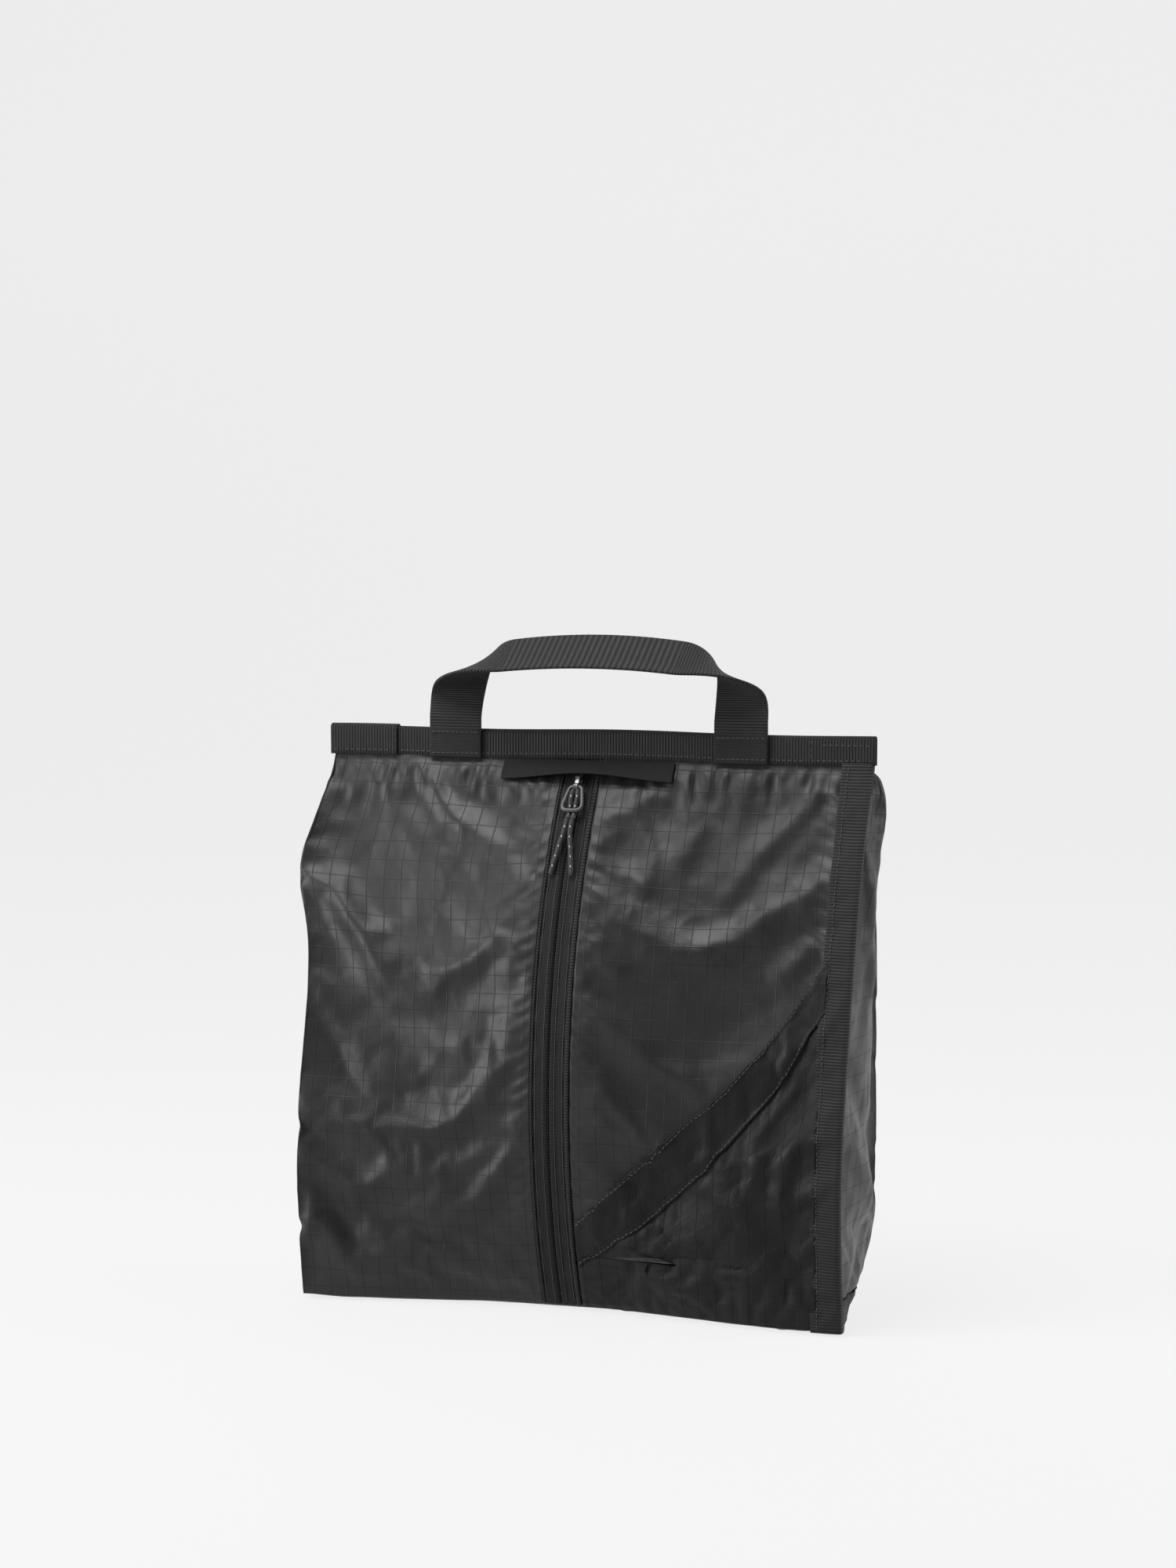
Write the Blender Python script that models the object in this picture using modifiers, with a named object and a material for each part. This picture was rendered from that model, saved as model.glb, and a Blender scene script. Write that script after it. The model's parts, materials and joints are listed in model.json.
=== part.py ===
# Shoe bag: a soft zipped tote of ripstop cloth, with a bound top edge, a webbing handle, a slanted front
# pocket and one long front zip. Metres, +Z up, front towards -Y, origin at the middle of the base.
import math
import bpy
import bmesh
from mathutils import Matrix, Vector

# Driving dimensions
HALF_WIDTH = 0.150
BINDING_TOP = 0.308
BINDING_HEIGHT = 0.0155
BINDING_BOTTOM = BINDING_TOP - BINDING_HEIGHT
BINDING_THICKNESS = 0.0044
BINDING_SLOT = 0.0026
BINDING_Y = 0.0100
BINDING_HALF = 0.1525
OVERLAP_RIGHT = -0.114
CLOTH = 0.0008
TAPE = 0.0008
GAP = 0.0003
BASE = 0.0016
PANEL_LOW = 0.0024
PANEL_NECK = 0.2912
PANEL_TOP = 0.2985
PANEL_ROWS = 24
GUSSET_ROWS = PANEL_ROWS - 1
GUSSET_PUFF = 0.006
SIDE_CLEAR = 0.0022

# The front zip is an arc about a line parallel to X, behind the bag.
ZIP_X = -0.008
ZIP_RADIUS = 0.2867
ZIP_CENTRE_Y = 0.2344
ZIP_CENTRE_Z = 0.1140
ZIP_HALF_GAP = 0.0008
ZIP_TAPE_WIDTH = 0.0078
PIPING_LEFT = 0.0012
PIPING_RIGHT = 0.0023
COIL_RADIUS = 0.0010
COIL_X = 0.0020
COIL_SHY = 0.0015
PIPING_LIFT = 0.0004
STOP_HALF_WIDTH = 0.0032
STOP_HALF_HEIGHT = 0.0010
STOP_DEPTH = 0.0030
SLIDER_Z = 0.2835
STOP_Z = 0.0075

# Side profiles, as (height, y) knots of a smooth curve
FRONT_SIDE = [(0.0, -0.0485), (0.080, -0.0550), (0.165, -0.0385), (0.250, -0.0120), (0.2912, 0.0090)]
BACK_SIDE = [(0.0, 0.0420), (0.110, 0.0460), (0.200, 0.0430), (0.255, 0.0340), (0.2800, 0.0240),
             (0.2912, 0.0110)]
BACK_INSET = 0.004
BACK_CROWN = 0.004
CROWN_FADE = 0.05
LEFT_BULGE = 0.011
LEFT_BULGE_Z = 0.236
LEFT_BULGE_SPREAD = 0.034
TUCK = 0.017
TUCK_HEIGHT = 0.055
EDGE_BINDING = 0.0150
LOW_BINDING_FRONT = 0.019
LOW_BINDING_BACK = 0.012
LOW_BINDING_DROP = 0.0012

# Handle
STRAP_WIDTH = 0.030
STRAP_THICKNESS = 0.0016
STRAP_LEG_X = 0.081
STRAP_Y = 0.0066
STRAP_END = 0.2925
HANDLE_FOLD_Z = 0.314
HANDLE_FOLD_GAP = 0.0015
HANDLE_APEX_Z = 0.351
BAND_TILT = math.radians(26.7)
TURN_LENGTH = 0.050

# Pocket edges, as (x, height) knots of smooth curves
POCKET_MOUTH = [(0.005, 0.051), (0.064, 0.107), (0.104, 0.146), (0.139, 0.196)]
POCKET_SEAM = [(0.005, 0.026), (0.0545, 0.062), (0.106, 0.118), (0.139, 0.168)]
POCKET_LEFT = 0.0055
POCKET_RIGHT = 0.1340
POCKET_LIFT = 0.0008

# Label, eyelets and pull
LABEL_LEFT = -0.052
LABEL_RIGHT = 0.044
LABEL_LENGTH = 0.0125
LABEL_THICKNESS = 0.0008
LABEL_Y = 0.0072
LABEL_TOP = 0.2919
LABEL_HANG = (math.radians(36), math.radians(62))
EYELET_X = (0.028, 0.118)
EYELET_INSET = 0.0085
EYELET_RADIUS = 0.0048
EYELET_BORE = 0.0026
EYELET_WALL = 0.0006
EYELET_SEAT = 0.0008

# The slider is drawn with its middle on the tape's face.
SLIDER_HALF_WIDTH = 0.0021
SLIDER_HALF_LENGTH = 0.0046
SLIDER_PLATE = 0.0012
SLIDER_CLEAR = 0.0004
SLIDER_BACK_WIDTH = 0.0036
SLIDER_BACK_LENGTH = 0.0044
SLIDER_NECK = (0.0005, 0.0018)
LUG_INNER = 0.0013
LUG_OUTER = 0.0020
LUG_ROUND = 0.0009
PIN_RADIUS = 0.0005
PIN_LIFT = 0.0030
PIN_DROP = 0.0022
TAB_LENGTH = 0.0060
TAB_HALF_WIDTH = 0.0010
TAB_HALF_THICKNESS = 0.0006
TAB_HEAD_RADIUS = 0.00115
TAB_HEAD_BORE = 0.0007
TAB_EYE_RADIUS = 0.0020
RING_TOP = 0.0066
RING_BOTTOM = 0.0122
RING_LENGTH = 0.0150
RING_ROD = 0.0011
RING_CORNER = 0.0016
CORD_RADIUS = 0.00125
HITCH_RADIUS = 0.0037
HITCH_WIDTH = 0.0054
RING_TILT = math.radians(2)

# The cord's tails lie down the zip from the hitch: (x, distance down the zip, height over it).
CORD_ROUTES = {
    "left": [(-0.0014, 0.0277, 0.0040), (-0.0019, 0.0320, 0.0037), (-0.0028, 0.0370, 0.0031),
             (-0.0040, 0.0430, 0.0026), (-0.0053, 0.0500, 0.0023), (-0.0066, 0.0582, 0.0021)],
    "right": [(0.0014, 0.0277, 0.0040), (0.0012, 0.0320, 0.0037), (0.0014, 0.0370, 0.0031),
              (0.0023, 0.0430, 0.0026), (0.0036, 0.0500, 0.0023), (0.0048, 0.0586, 0.0021)],
}
CORD_STEPS = 12


for old in list(bpy.data.objects):
    bpy.data.objects.remove(old)
bag = bpy.data.collections.new("shoe_bag")
cutters = bpy.data.collections.new("cutters")
bpy.context.scene.collection.children.link(bag)
bpy.context.scene.collection.children.link(cutters)

# Colour, roughness and metallic value of each finish
CLOTH_LOOK = ((0.045, 0.045, 0.048), 0.45)
TAPE_LOOK = ((0.016, 0.016, 0.017), 0.85)
KNIT_LOOK = ((0.020, 0.020, 0.022), 0.80)
COIL_LOOK = ((0.015, 0.015, 0.016), 0.35)
METAL_LOOK = ((0.42, 0.42, 0.43), 0.35, 1.0)
MOULDED_LOOK = ((0.020, 0.020, 0.021), 0.50)
CORD_LOOK = ((0.022, 0.022, 0.024), 0.75)


def make_material(name, colour, roughness, metallic=0.0):
    material = bpy.data.materials.new(name)
    material.use_nodes = True
    shader = material.node_tree.nodes["Principled BSDF"]
    shader.inputs["Base Color"].default_value = (*colour, 1.0)
    shader.inputs["Roughness"].default_value = roughness
    shader.inputs["Metallic"].default_value = metallic
    return material


def add_object(name, data, look, parent=None):
    piece = bpy.data.objects.new(name, data)
    bag.objects.link(piece)
    data.materials.append(make_material(name, *look))
    piece.parent = parent
    return piece


def add_axis(name, location, turn=0.0, parent=None):
    """An empty on a joint's axis, which runs along X."""
    axis = bpy.data.objects.new(name, None)
    bag.objects.link(axis)
    axis.location = location
    axis.rotation_euler.x = turn
    axis.parent = parent
    return axis


def blend(low, high, t):
    return low + (high - low) * t


def smooth(knots, at):
    """Cubic Hermite curve through (position, value) knots, with slopes taken from the neighbours."""
    last = len(knots) - 1
    slopes = []
    for index in range(last + 1):
        before = knots[max(index - 1, 0)]
        after = knots[min(index + 1, last)]
        slopes.append((after[1] - before[1]) / (after[0] - before[0]))
    at = min(max(at, knots[0][0]), knots[last][0])
    index = 0
    while index < last - 1 and at > knots[index + 1][0]:
        index += 1
    (start, low), (end, high) = knots[index], knots[index + 1]
    span = end - start
    t = (at - start) / span
    return (
        (2 * t**3 - 3 * t**2 + 1) * low
        + (t**3 - 2 * t**2 + t) * span * slopes[index]
        + (3 * t**2 - 2 * t**3) * high
        + (t**3 - t**2) * span * slopes[index + 1]
    )


def zip_angle(z):
    """Angle about the zip's centre line, zero straight forward and positive upwards."""
    return math.asin((z - ZIP_CENTRE_Z) / ZIP_RADIUS)


def on_zip(angle, inward=0.0):
    """(y, z) on the zip's arc, moved inward along its radius."""
    radius = ZIP_RADIUS - inward
    return ZIP_CENTRE_Y - radius * math.cos(angle), ZIP_CENTRE_Z + radius * math.sin(angle)


def edge_x(side, z, depth):
    """x of the bag's side, -1 left or 1 right, at a height and at a depth of 0 front to 1 back."""
    bulge = LEFT_BULGE * math.exp(-(((z - LEFT_BULGE_Z) / LEFT_BULGE_SPREAD) ** 2)) if side < 0 else 0.0
    low = max(0.0, 1 - z / TUCK_HEIGHT) ** 2
    return side * (HALF_WIDTH + bulge - BACK_INSET * depth - TUCK * low * depth)


def front_y(x, z):
    """The front follows its side profile at the edges and the zip's arc in the middle."""
    z = min(z, PANEL_NECK)
    side = smooth(FRONT_SIDE, z)
    reach = HALF_WIDTH - math.copysign(ZIP_X, x - ZIP_X)
    flat = (ZIP_TAPE_WIDTH + PIPING_RIGHT) / reach
    t = min(max(0.0, (abs(x - ZIP_X) / reach - flat) / (1 - flat)), 1.0)
    return blend(side, on_zip(zip_angle(z))[0], 0.5 + 0.5 * math.cos(math.pi * t))


def back_y(x, z):
    z = min(z, PANEL_NECK)
    crown = BACK_CROWN * min(1.0, (PANEL_NECK - z) / CROWN_FADE)
    return smooth(BACK_SIDE, z) + crown * math.cos(math.pi * x / (2 * HALF_WIDTH))


def sheet(name, columns, rows, place, look, thickness=CLOTH, offset=-1.0, parent=None):
    """A grid whose points go where place(u, v) says, given a thickness against its normal."""
    mesh = bpy.data.meshes.new(name)
    grid = bmesh.new()
    bmesh.ops.create_grid(grid, x_segments=columns, y_segments=rows, size=0.5)
    for vertex in grid.verts:
        vertex.co = place(vertex.co.x + 0.5, vertex.co.y + 0.5)
    grid.to_mesh(mesh)
    grid.free()
    mesh.shade_smooth()
    piece = add_object(name, mesh, look, parent)
    shell = piece.modifiers.new("Thickness", "SOLIDIFY")
    shell.thickness = thickness
    shell.offset = offset
    return piece


def box_mesh(name, low, high):
    mesh = bpy.data.meshes.new(name)
    block = bmesh.new()
    bmesh.ops.create_cube(block, size=1.0)
    low, high = Vector(low), Vector(high)
    bmesh.ops.scale(block, vec=high - low, verts=block.verts)
    bmesh.ops.translate(block, vec=(low + high) / 2, verts=block.verts)
    block.to_mesh(mesh)
    block.free()
    return mesh


def rod_mesh(name, radius, length, centre, axis, sides=16):
    mesh = bpy.data.meshes.new(name)
    rod = bmesh.new()
    turn = Vector((0, 0, 1)).rotation_difference(Vector(axis)).to_matrix().to_4x4()
    bmesh.ops.create_cone(rod, cap_ends=True, segments=sides, radius1=radius, radius2=radius, depth=length,
                          matrix=Matrix.Translation(centre) @ turn)
    rod.to_mesh(mesh)
    rod.free()
    return mesh


def change(piece, mesh, operation, name):
    """Cuts the mesh from the piece, or joins it on, with a Boolean."""
    helper = bpy.data.objects.new(name, mesh)
    helper.hide_render = True
    helper.display_type = "WIRE"
    helper.parent = piece.parent
    cutters.objects.link(helper)
    boolean = piece.modifiers.new(name, "BOOLEAN")
    boolean.operation = operation
    boolean.object = helper


def tube(name, points, radius, look, resolution=2, cyclic=False, parent=None):
    curve = bpy.data.curves.new(name, "CURVE")
    curve.dimensions = "3D"
    curve.bevel_depth = radius
    curve.bevel_resolution = resolution
    curve.use_fill_caps = True
    line = curve.splines.new("POLY")
    line.points.add(len(points) - 1)
    line.use_cyclic_u = cyclic
    for point, place in zip(line.points, points):
        point.co = (*place, 1.0)
    return add_object(name, curve, look, parent)


def panel_level(row):
    """Even heights up to the neck, and one last row inside the top binding."""
    return blend(PANEL_LOW, PANEL_NECK, row / PANEL_ROWS) if row <= PANEL_ROWS else PANEL_TOP


def add_body_panels():
    columns, rows = 9, PANEL_ROWS + 1
    zip_left = ZIP_X - ZIP_HALF_GAP - ZIP_TAPE_WIDTH - PIPING_LEFT - 2 * GAP
    zip_right = ZIP_X + ZIP_HALF_GAP + ZIP_TAPE_WIDTH + PIPING_RIGHT + 2 * GAP

    def front(left, right):
        def place(u, v):
            z = panel_level(round(v * rows))
            x = blend(left(z), right(z), u)
            return Vector((x, front_y(x, z), z))
        return place

    def back(u, v):
        z = panel_level(round(v * rows))
        x = blend(edge_x(1, z, 1), edge_x(-1, z, 1), u)
        return Vector((x, back_y(x, z), z))

    def gusset(side):
        def place(u, v):
            z = panel_level(round(v * GUSSET_ROWS))
            depth = u if side > 0 else 1 - u
            clear = SIDE_CLEAR
            y = blend(front_y(edge_x(side, z, 0), z) + clear, back_y(edge_x(side, z, 1), z) - clear, depth)
            puff = GUSSET_PUFF * math.sin(math.pi * depth) * math.sin(math.pi * z / PANEL_NECK)
            return Vector((edge_x(side, z, depth) + side * puff, y, z))
        return place

    def base(u, v):
        depth = 1 - v
        clear = CLOTH + 2 * GAP
        left = edge_x(-1, PANEL_LOW, depth) + 1.5 * clear
        right = edge_x(1, PANEL_LOW, depth) - 1.5 * clear
        x = blend(left, right, u)
        return Vector((x, blend(front_y(x, PANEL_LOW) + clear, back_y(x, PANEL_LOW) - clear, depth), 0.0))

    left_half = front(lambda z: edge_x(-1, z, 0), lambda z: zip_left)
    right_half = front(lambda z: zip_right, lambda z: edge_x(1, z, 0))
    sheet("front_panel_left", columns, rows, left_half, CLOTH_LOOK)
    sheet("front_panel_right", columns, rows, right_half, CLOTH_LOOK)
    sheet("back_panel", 14, rows, back, CLOTH_LOOK)
    sheet("left_gusset", 7, GUSSET_ROWS, gusset(-1), CLOTH_LOOK)
    sheet("right_gusset", 7, GUSSET_ROWS, gusset(1), CLOTH_LOOK)
    return sheet("base_panel", 16, 6, base, CLOTH_LOOK, thickness=BASE)


def turned(name, profile, location, look):
    """A closed profile of (radius, height) points turned about the vertical line at the location."""
    mesh = bpy.data.meshes.new(name)
    outline = bmesh.new()
    corners = [outline.verts.new((radius, 0, height)) for radius, height in profile]
    for index, corner in enumerate(corners):
        outline.edges.new((corner, corners[(index + 1) % len(corners)]))
    outline.to_mesh(mesh)
    outline.free()
    piece = add_object(name, mesh, look)
    piece.location = location
    spin = piece.modifiers.new("Turn", "SCREW")
    spin.steps = 24
    spin.render_steps = 24
    spin.use_merge_vertices = True
    spin.merge_threshold = 0.00001
    return piece


def add_eyelets(base_panel):
    barrel = EYELET_BORE + EYELET_WALL
    seat_depth = EYELET_SEAT
    rim = seat_depth / 8
    washer_low = BASE + GAP
    washer_high = washer_low + EYELET_WALL
    eyelet = [(EYELET_BORE, washer_high + GAP), (barrel, washer_high + GAP), (barrel, seat_depth - GAP),
              (EYELET_RADIUS, seat_depth / 2), (EYELET_RADIUS, rim), (EYELET_BORE, rim)]
    washer = [(barrel + GAP, washer_high), (EYELET_RADIUS, washer_high), (EYELET_RADIUS, washer_low),
              (barrel + GAP, washer_low)]
    for label, x in zip(("inner", "outer"), EYELET_X):
        y = front_y(x, PANEL_LOW) + EYELET_INSET
        turned(f"eyelet_{label}", eyelet, (x, y, 0), METAL_LOOK)
        turned(f"eyelet_washer_{label}", washer, (x, y, 0), METAL_LOOK)
        hole = rod_mesh("eyelet_hole", barrel + GAP, 0.02, (x, y, 0), (0, 0, 1), 24)
        change(base_panel, hole, "DIFFERENCE", f"eyelet_hole_{label}")
        seat = rod_mesh("eyelet_seat", EYELET_RADIUS + GAP, 2 * seat_depth, (x, y, 0), (0, 0, 1), 24)
        change(base_panel, seat, "DIFFERENCE", f"eyelet_seat_{label}")


def add_bindings():
    half = BINDING_THICKNESS / 2
    block = box_mesh("top_binding", (-BINDING_HALF, BINDING_Y - half, BINDING_BOTTOM),
                     (BINDING_HALF, BINDING_Y + half, BINDING_TOP))
    binding = add_object("top_binding", block, TAPE_LOOK)
    slot_top = PANEL_TOP + 0.0010
    slot = box_mesh("binding_slot", (-1, BINDING_Y - BINDING_SLOT / 2, 0),
                    (1, BINDING_Y + BINDING_SLOT / 2, slot_top))
    change(binding, slot, "DIFFERENCE", "binding_slot")

    # The tape's end is folded back over itself at the left.
    inner = half + GAP
    outer = inner + TAPE
    left = -BINDING_HALF
    fold = box_mesh("binding_overlap", (left, BINDING_Y - outer, BINDING_BOTTOM),
                    (OVERLAP_RIGHT, BINDING_Y + outer, BINDING_TOP + GAP + TAPE))
    overlap = add_object("binding_overlap", fold, TAPE_LOOK)
    room = box_mesh("overlap_room", (left - 0.01, BINDING_Y - inner, 0),
                    (OVERLAP_RIGHT + 0.01, BINDING_Y + inner, BINDING_TOP + GAP))
    change(overlap, room, "DIFFERENCE", "overlap_room")

    def front_edge(u, v):
        z = blend(PANEL_LOW, PANEL_NECK, v)
        x = HALF_WIDTH - EDGE_BINDING * (1 - u)
        return Vector((x, front_y(x, z) - POCKET_LIFT - TAPE, z))

    def low_edge(u, v):
        z = blend(PANEL_LOW - LOW_BINDING_DROP, blend(LOW_BINDING_FRONT, LOW_BINDING_BACK, u), v)
        y = blend(front_y(HALF_WIDTH, z) + SIDE_CLEAR, back_y(HALF_WIDTH, z) - SIDE_CLEAR, u)
        puff = LOW_BINDING_DROP * math.sin(math.pi * u)
        return Vector((edge_x(1, max(z, PANEL_LOW), u) + POCKET_LIFT + TAPE + puff, y, z))

    sheet("right_edge_binding", 2, 17, front_edge, TAPE_LOOK, thickness=TAPE)
    sheet("right_base_binding", 8, 2, low_edge, TAPE_LOOK, thickness=TAPE)


def add_pocket():
    def region(low, high):
        def place(u, v):
            x = blend(POCKET_LEFT, POCKET_RIGHT, u)
            z = blend(low(x), high(x), v)
            return Vector((x, front_y(x, z) - POCKET_LIFT - CLOTH, z))
        return place

    def seam(x):
        return smooth(POCKET_SEAM, x)

    body = region(lambda x: PANEL_LOW, lambda x: seam(x) - GAP / 2)
    hem = region(lambda x: seam(x) + GAP / 2, lambda x: smooth(POCKET_MOUTH, x))
    sheet("pocket_panel", 9, 10, body, CLOTH_LOOK)
    sheet("pocket_hem", 9, 3, hem, CLOTH_LOOK)


def zip_strip(name, left, right, look, low_z, high_z, thickness, lift=0.0):
    low, high = zip_angle(low_z), zip_angle(high_z)

    def place(u, v):
        return Vector((blend(left, right, u), *on_zip(blend(low, high, v), -lift)))

    return sheet(name, 1, 28, place, look, thickness)


def add_zip():
    inner = ZIP_HALF_GAP
    outer = inner + ZIP_TAPE_WIDTH
    for label, side, piping in (("left", -1, PIPING_LEFT), ("right", 1, PIPING_RIGHT)):
        edges = sorted((ZIP_X + side * inner, ZIP_X + side * outer))
        zip_strip(f"zip_tape_{label}", *edges, KNIT_LOOK, PANEL_LOW, PANEL_NECK, TAPE)
        edges = sorted((ZIP_X + side * (outer + GAP), ZIP_X + side * (outer + GAP + piping)))
        zip_strip(f"zip_piping_{label}", *edges, TAPE_LOOK, PANEL_LOW, PANEL_NECK,
                  TAPE + PIPING_LIFT, PIPING_LIFT)
        depth = TAPE + GAP + COIL_RADIUS
        low, high = zip_angle(STOP_Z + COIL_SHY), zip_angle(PANEL_NECK - 2 * COIL_SHY)
        line = []
        for step in range(25):
            line.append((ZIP_X + side * COIL_X, *on_zip(blend(low, high, step / 24), depth)))
        tube(f"zip_coil_{label}", line, COIL_RADIUS, COIL_LOOK)
    for label, z in (("bottom", STOP_Z), ("top", PANEL_NECK - 1.2 * STOP_HALF_HEIGHT)):
        axis = add_axis(f"{label}_stop_axis", (ZIP_X, ZIP_CENTRE_Y, ZIP_CENTRE_Z), -zip_angle(z))
        near = -ZIP_RADIUS + TAPE + GAP
        stop = box_mesh(f"zip_{label}_stop", (-STOP_HALF_WIDTH, near, -STOP_HALF_HEIGHT),
                        (STOP_HALF_WIDTH, near + STOP_DEPTH, STOP_HALF_HEIGHT))
        add_object(f"zip_{label}_stop", stop, METAL_LOOK, axis)


def add_slider():
    """The slider is built at the front of the zip's circle and turned up to its place."""
    axis = add_axis("slider_axis", (ZIP_X, ZIP_CENTRE_Y, ZIP_CENTRE_Z), -zip_angle(SLIDER_Z))
    face = -ZIP_RADIUS
    top = face - SLIDER_CLEAR
    plate = top - SLIDER_PLATE
    root = plate + SLIDER_PLATE / 3
    half, reach = SLIDER_HALF_WIDTH, SLIDER_HALF_LENGTH
    slider = add_object("zip_slider", box_mesh("zip_slider", (-half, plate, -reach), (half, top, reach)),
                        METAL_LOOK, axis)
    back = face + TAPE + GAP + 2 * COIL_RADIUS + SLIDER_CLEAR
    pin_y = face - PIN_LIFT
    half, reach = SLIDER_NECK
    neck = box_mesh("slider_neck", (-half, root, -reach), (half, back + SLIDER_PLATE / 2, reach))
    change(slider, neck, "UNION", "slider_neck")
    half, reach = SLIDER_BACK_WIDTH, SLIDER_BACK_LENGTH
    wing = box_mesh("slider_back", (-half, back, -reach), (half, back + SLIDER_PLATE, reach))
    change(slider, wing, "UNION", "slider_back")
    for label, low, high in (("left", -LUG_OUTER, -LUG_INNER), ("right", LUG_INNER, LUG_OUTER)):
        lug = box_mesh(f"slider_lug_{label}", (low, pin_y - LUG_ROUND, -PIN_DROP - LUG_ROUND),
                       (high, root, LUG_ROUND - PIN_DROP))
        change(slider, lug, "UNION", f"slider_lug_{label}")
    pin = rod_mesh("slider_pin", PIN_RADIUS, LUG_INNER + LUG_OUTER, (0, pin_y, -PIN_DROP), (1, 0, 0), 12)
    change(slider, pin, "UNION", "slider_pin")
    return add_axis("pull_axis", (0, pin_y, -PIN_DROP), 0.0, axis)


def add_pull(axis):
    """A metal tab on the slider's pin, and a moulded ring through the tab's lower eye."""
    half, thin = TAB_HALF_WIDTH, TAB_HALF_THICKNESS
    tab = add_object("zip_pull_tab", box_mesh("zip_pull_tab", (-half, -thin, -TAB_LENGTH), (half, thin, 0)),
                     METAL_LOOK, axis)
    knuckles = {"head": (0.0, TAB_HEAD_RADIUS, TAB_HEAD_BORE),
                "eye": (-TAB_LENGTH, TAB_EYE_RADIUS, RING_ROD + GAP)}
    for label, (z, outer, bore) in knuckles.items():
        knuckle = rod_mesh(f"tab_{label}", outer, 2 * half, (0, 0, z), (1, 0, 0), 20)
        change(tab, knuckle, "UNION", f"tab_{label}")
        hole = rod_mesh(f"tab_{label}_hole", bore, 4 * half, (0, 0, z), (1, 0, 0), 20)
        change(tab, hole, "DIFFERENCE", f"tab_{label}_hole")

    ring_axis = add_axis("ring_axis", (0, 0, -TAB_LENGTH), -RING_TILT, axis)
    top, bottom, corner = RING_TOP / 2, RING_BOTTOM / 2, RING_CORNER
    outline = [(-top + corner, 0.0), (top - corner, 0.0), (top, -corner), (bottom, -RING_LENGTH + corner),
               (bottom - 0.4 * corner, -RING_LENGTH + 0.4 * corner), (bottom - corner, -RING_LENGTH),
               (corner - bottom, -RING_LENGTH), (0.4 * corner - bottom, -RING_LENGTH + 0.4 * corner),
               (-bottom, -RING_LENGTH + corner), (-top, -corner)]
    tube("zip_pull_ring", [(x, 0.0, z) for x, z in outline], RING_ROD, MOULDED_LOOK, 2, True, ring_axis)
    hitch = add_object("pull_cord_hitch", rod_mesh("pull_cord_hitch", HITCH_RADIUS, HITCH_WIDTH,
                                                   (0, 0, -RING_LENGTH), (1, 0, 0), 20), CORD_LOOK, ring_axis)
    bore = rod_mesh("hitch_bore", RING_ROD + GAP, 2 * HITCH_WIDTH, (0, 0, -RING_LENGTH), (1, 0, 0), 20)
    change(hitch, bore, "DIFFERENCE", "hitch_bore")


def add_pull_cord():
    for label, route in CORD_ROUTES.items():
        across = [(down, x) for x, down, height in route]
        above = [(down, height) for x, down, height in route]
        start, end = route[0][1], route[-1][1]
        line = []
        for step in range(CORD_STEPS + 1):
            down = blend(start, end, step / CORD_STEPS)
            angle = zip_angle(SLIDER_Z) - down / ZIP_RADIUS
            line.append((ZIP_X + smooth(across, down), *on_zip(angle, -smooth(above, down))))
        tube(f"pull_cord_{label}", line, CORD_RADIUS, CORD_LOOK)


def add_label():
    def place(u, v):
        lift = math.sin(math.pi * u) ** 1.5
        hang = blend(*LABEL_HANG, lift)
        length = LABEL_LENGTH * (1 - v)
        return Vector((blend(LABEL_LEFT, LABEL_RIGHT, u), LABEL_Y - length * math.sin(hang),
                       LABEL_TOP - length * math.cos(hang)))

    sheet("label", 16, 2, place, TAPE_LOOK, LABEL_THICKNESS, 0.0)


def handle_stations(steps):
    """Centres and width directions along the handle, from its left fold to its right fold.

    Each leg rises flat against the front, then turns a quarter over while it bends into the band."""
    leg = Matrix(((0, -1, 0), (0, 0, -1), (1, 0, 0)))
    band = Matrix(((1, 0, 0), (0, -math.cos(BAND_TILT), math.sin(BAND_TILT)),
                   (0, -math.sin(BAND_TILT), -math.cos(BAND_TILT))))
    start, end = leg.to_quaternion(), band.to_quaternion()

    def frame_at(t):
        eased = t * t * (3 - 2 * t)
        return start.slerp(end, eased).to_matrix()

    turn = [Vector((0, 0, 0))]
    for step in range(steps):
        turn.append(turn[-1] + frame_at((step + 0.5) / steps).col[0] * TURN_LENGTH / steps)
    rise = HANDLE_APEX_Z - HANDLE_FOLD_Z - turn[-1].z
    foot = Vector((-STRAP_LEG_X, STRAP_Y, HANDLE_FOLD_Z))
    stations = [(foot + Vector((0, 0, rise * part / 4)), frame_at(0).col[1]) for part in range(4)]
    corner = foot + Vector((0, 0, rise))
    for step, offset in enumerate(turn):
        stations.append((corner + offset, frame_at(step / steps).col[1]))
    run = -stations[-1][0].x
    for part in range(1, 6):
        stations.append((corner + turn[-1] + Vector((run * part / 6, 0, 0)), frame_at(1).col[1]))
    mirror = Matrix.Diagonal((-1, 1, 1))
    middle = corner + turn[-1] + Vector((run, 0, 0))
    far = [(mirror @ centre, mirror @ width) for centre, width in reversed(stations)]
    return stations + [(middle, frame_at(1).col[1])] + far


def add_handle():
    stations = handle_stations(16)

    def strap(u, v):
        centre, width = stations[round(v * (len(stations) - 1))]
        return centre + width * (u - 0.5) * STRAP_WIDTH

    sheet("handle_strap", 2, len(stations) - 1, strap, TAPE_LOOK, STRAP_THICKNESS, 0.0)
    half = STRAP_THICKNESS / 2
    for label, x in (("left", -STRAP_LEG_X), ("right", STRAP_LEG_X)):
        end = box_mesh(f"handle_end_{label}", (x - STRAP_WIDTH / 2, STRAP_Y - half, STRAP_END),
                       (x + STRAP_WIDTH / 2, STRAP_Y + half, HANDLE_FOLD_Z - HANDLE_FOLD_GAP))
        add_object(f"handle_end_{label}", end, TAPE_LOOK)


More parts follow.
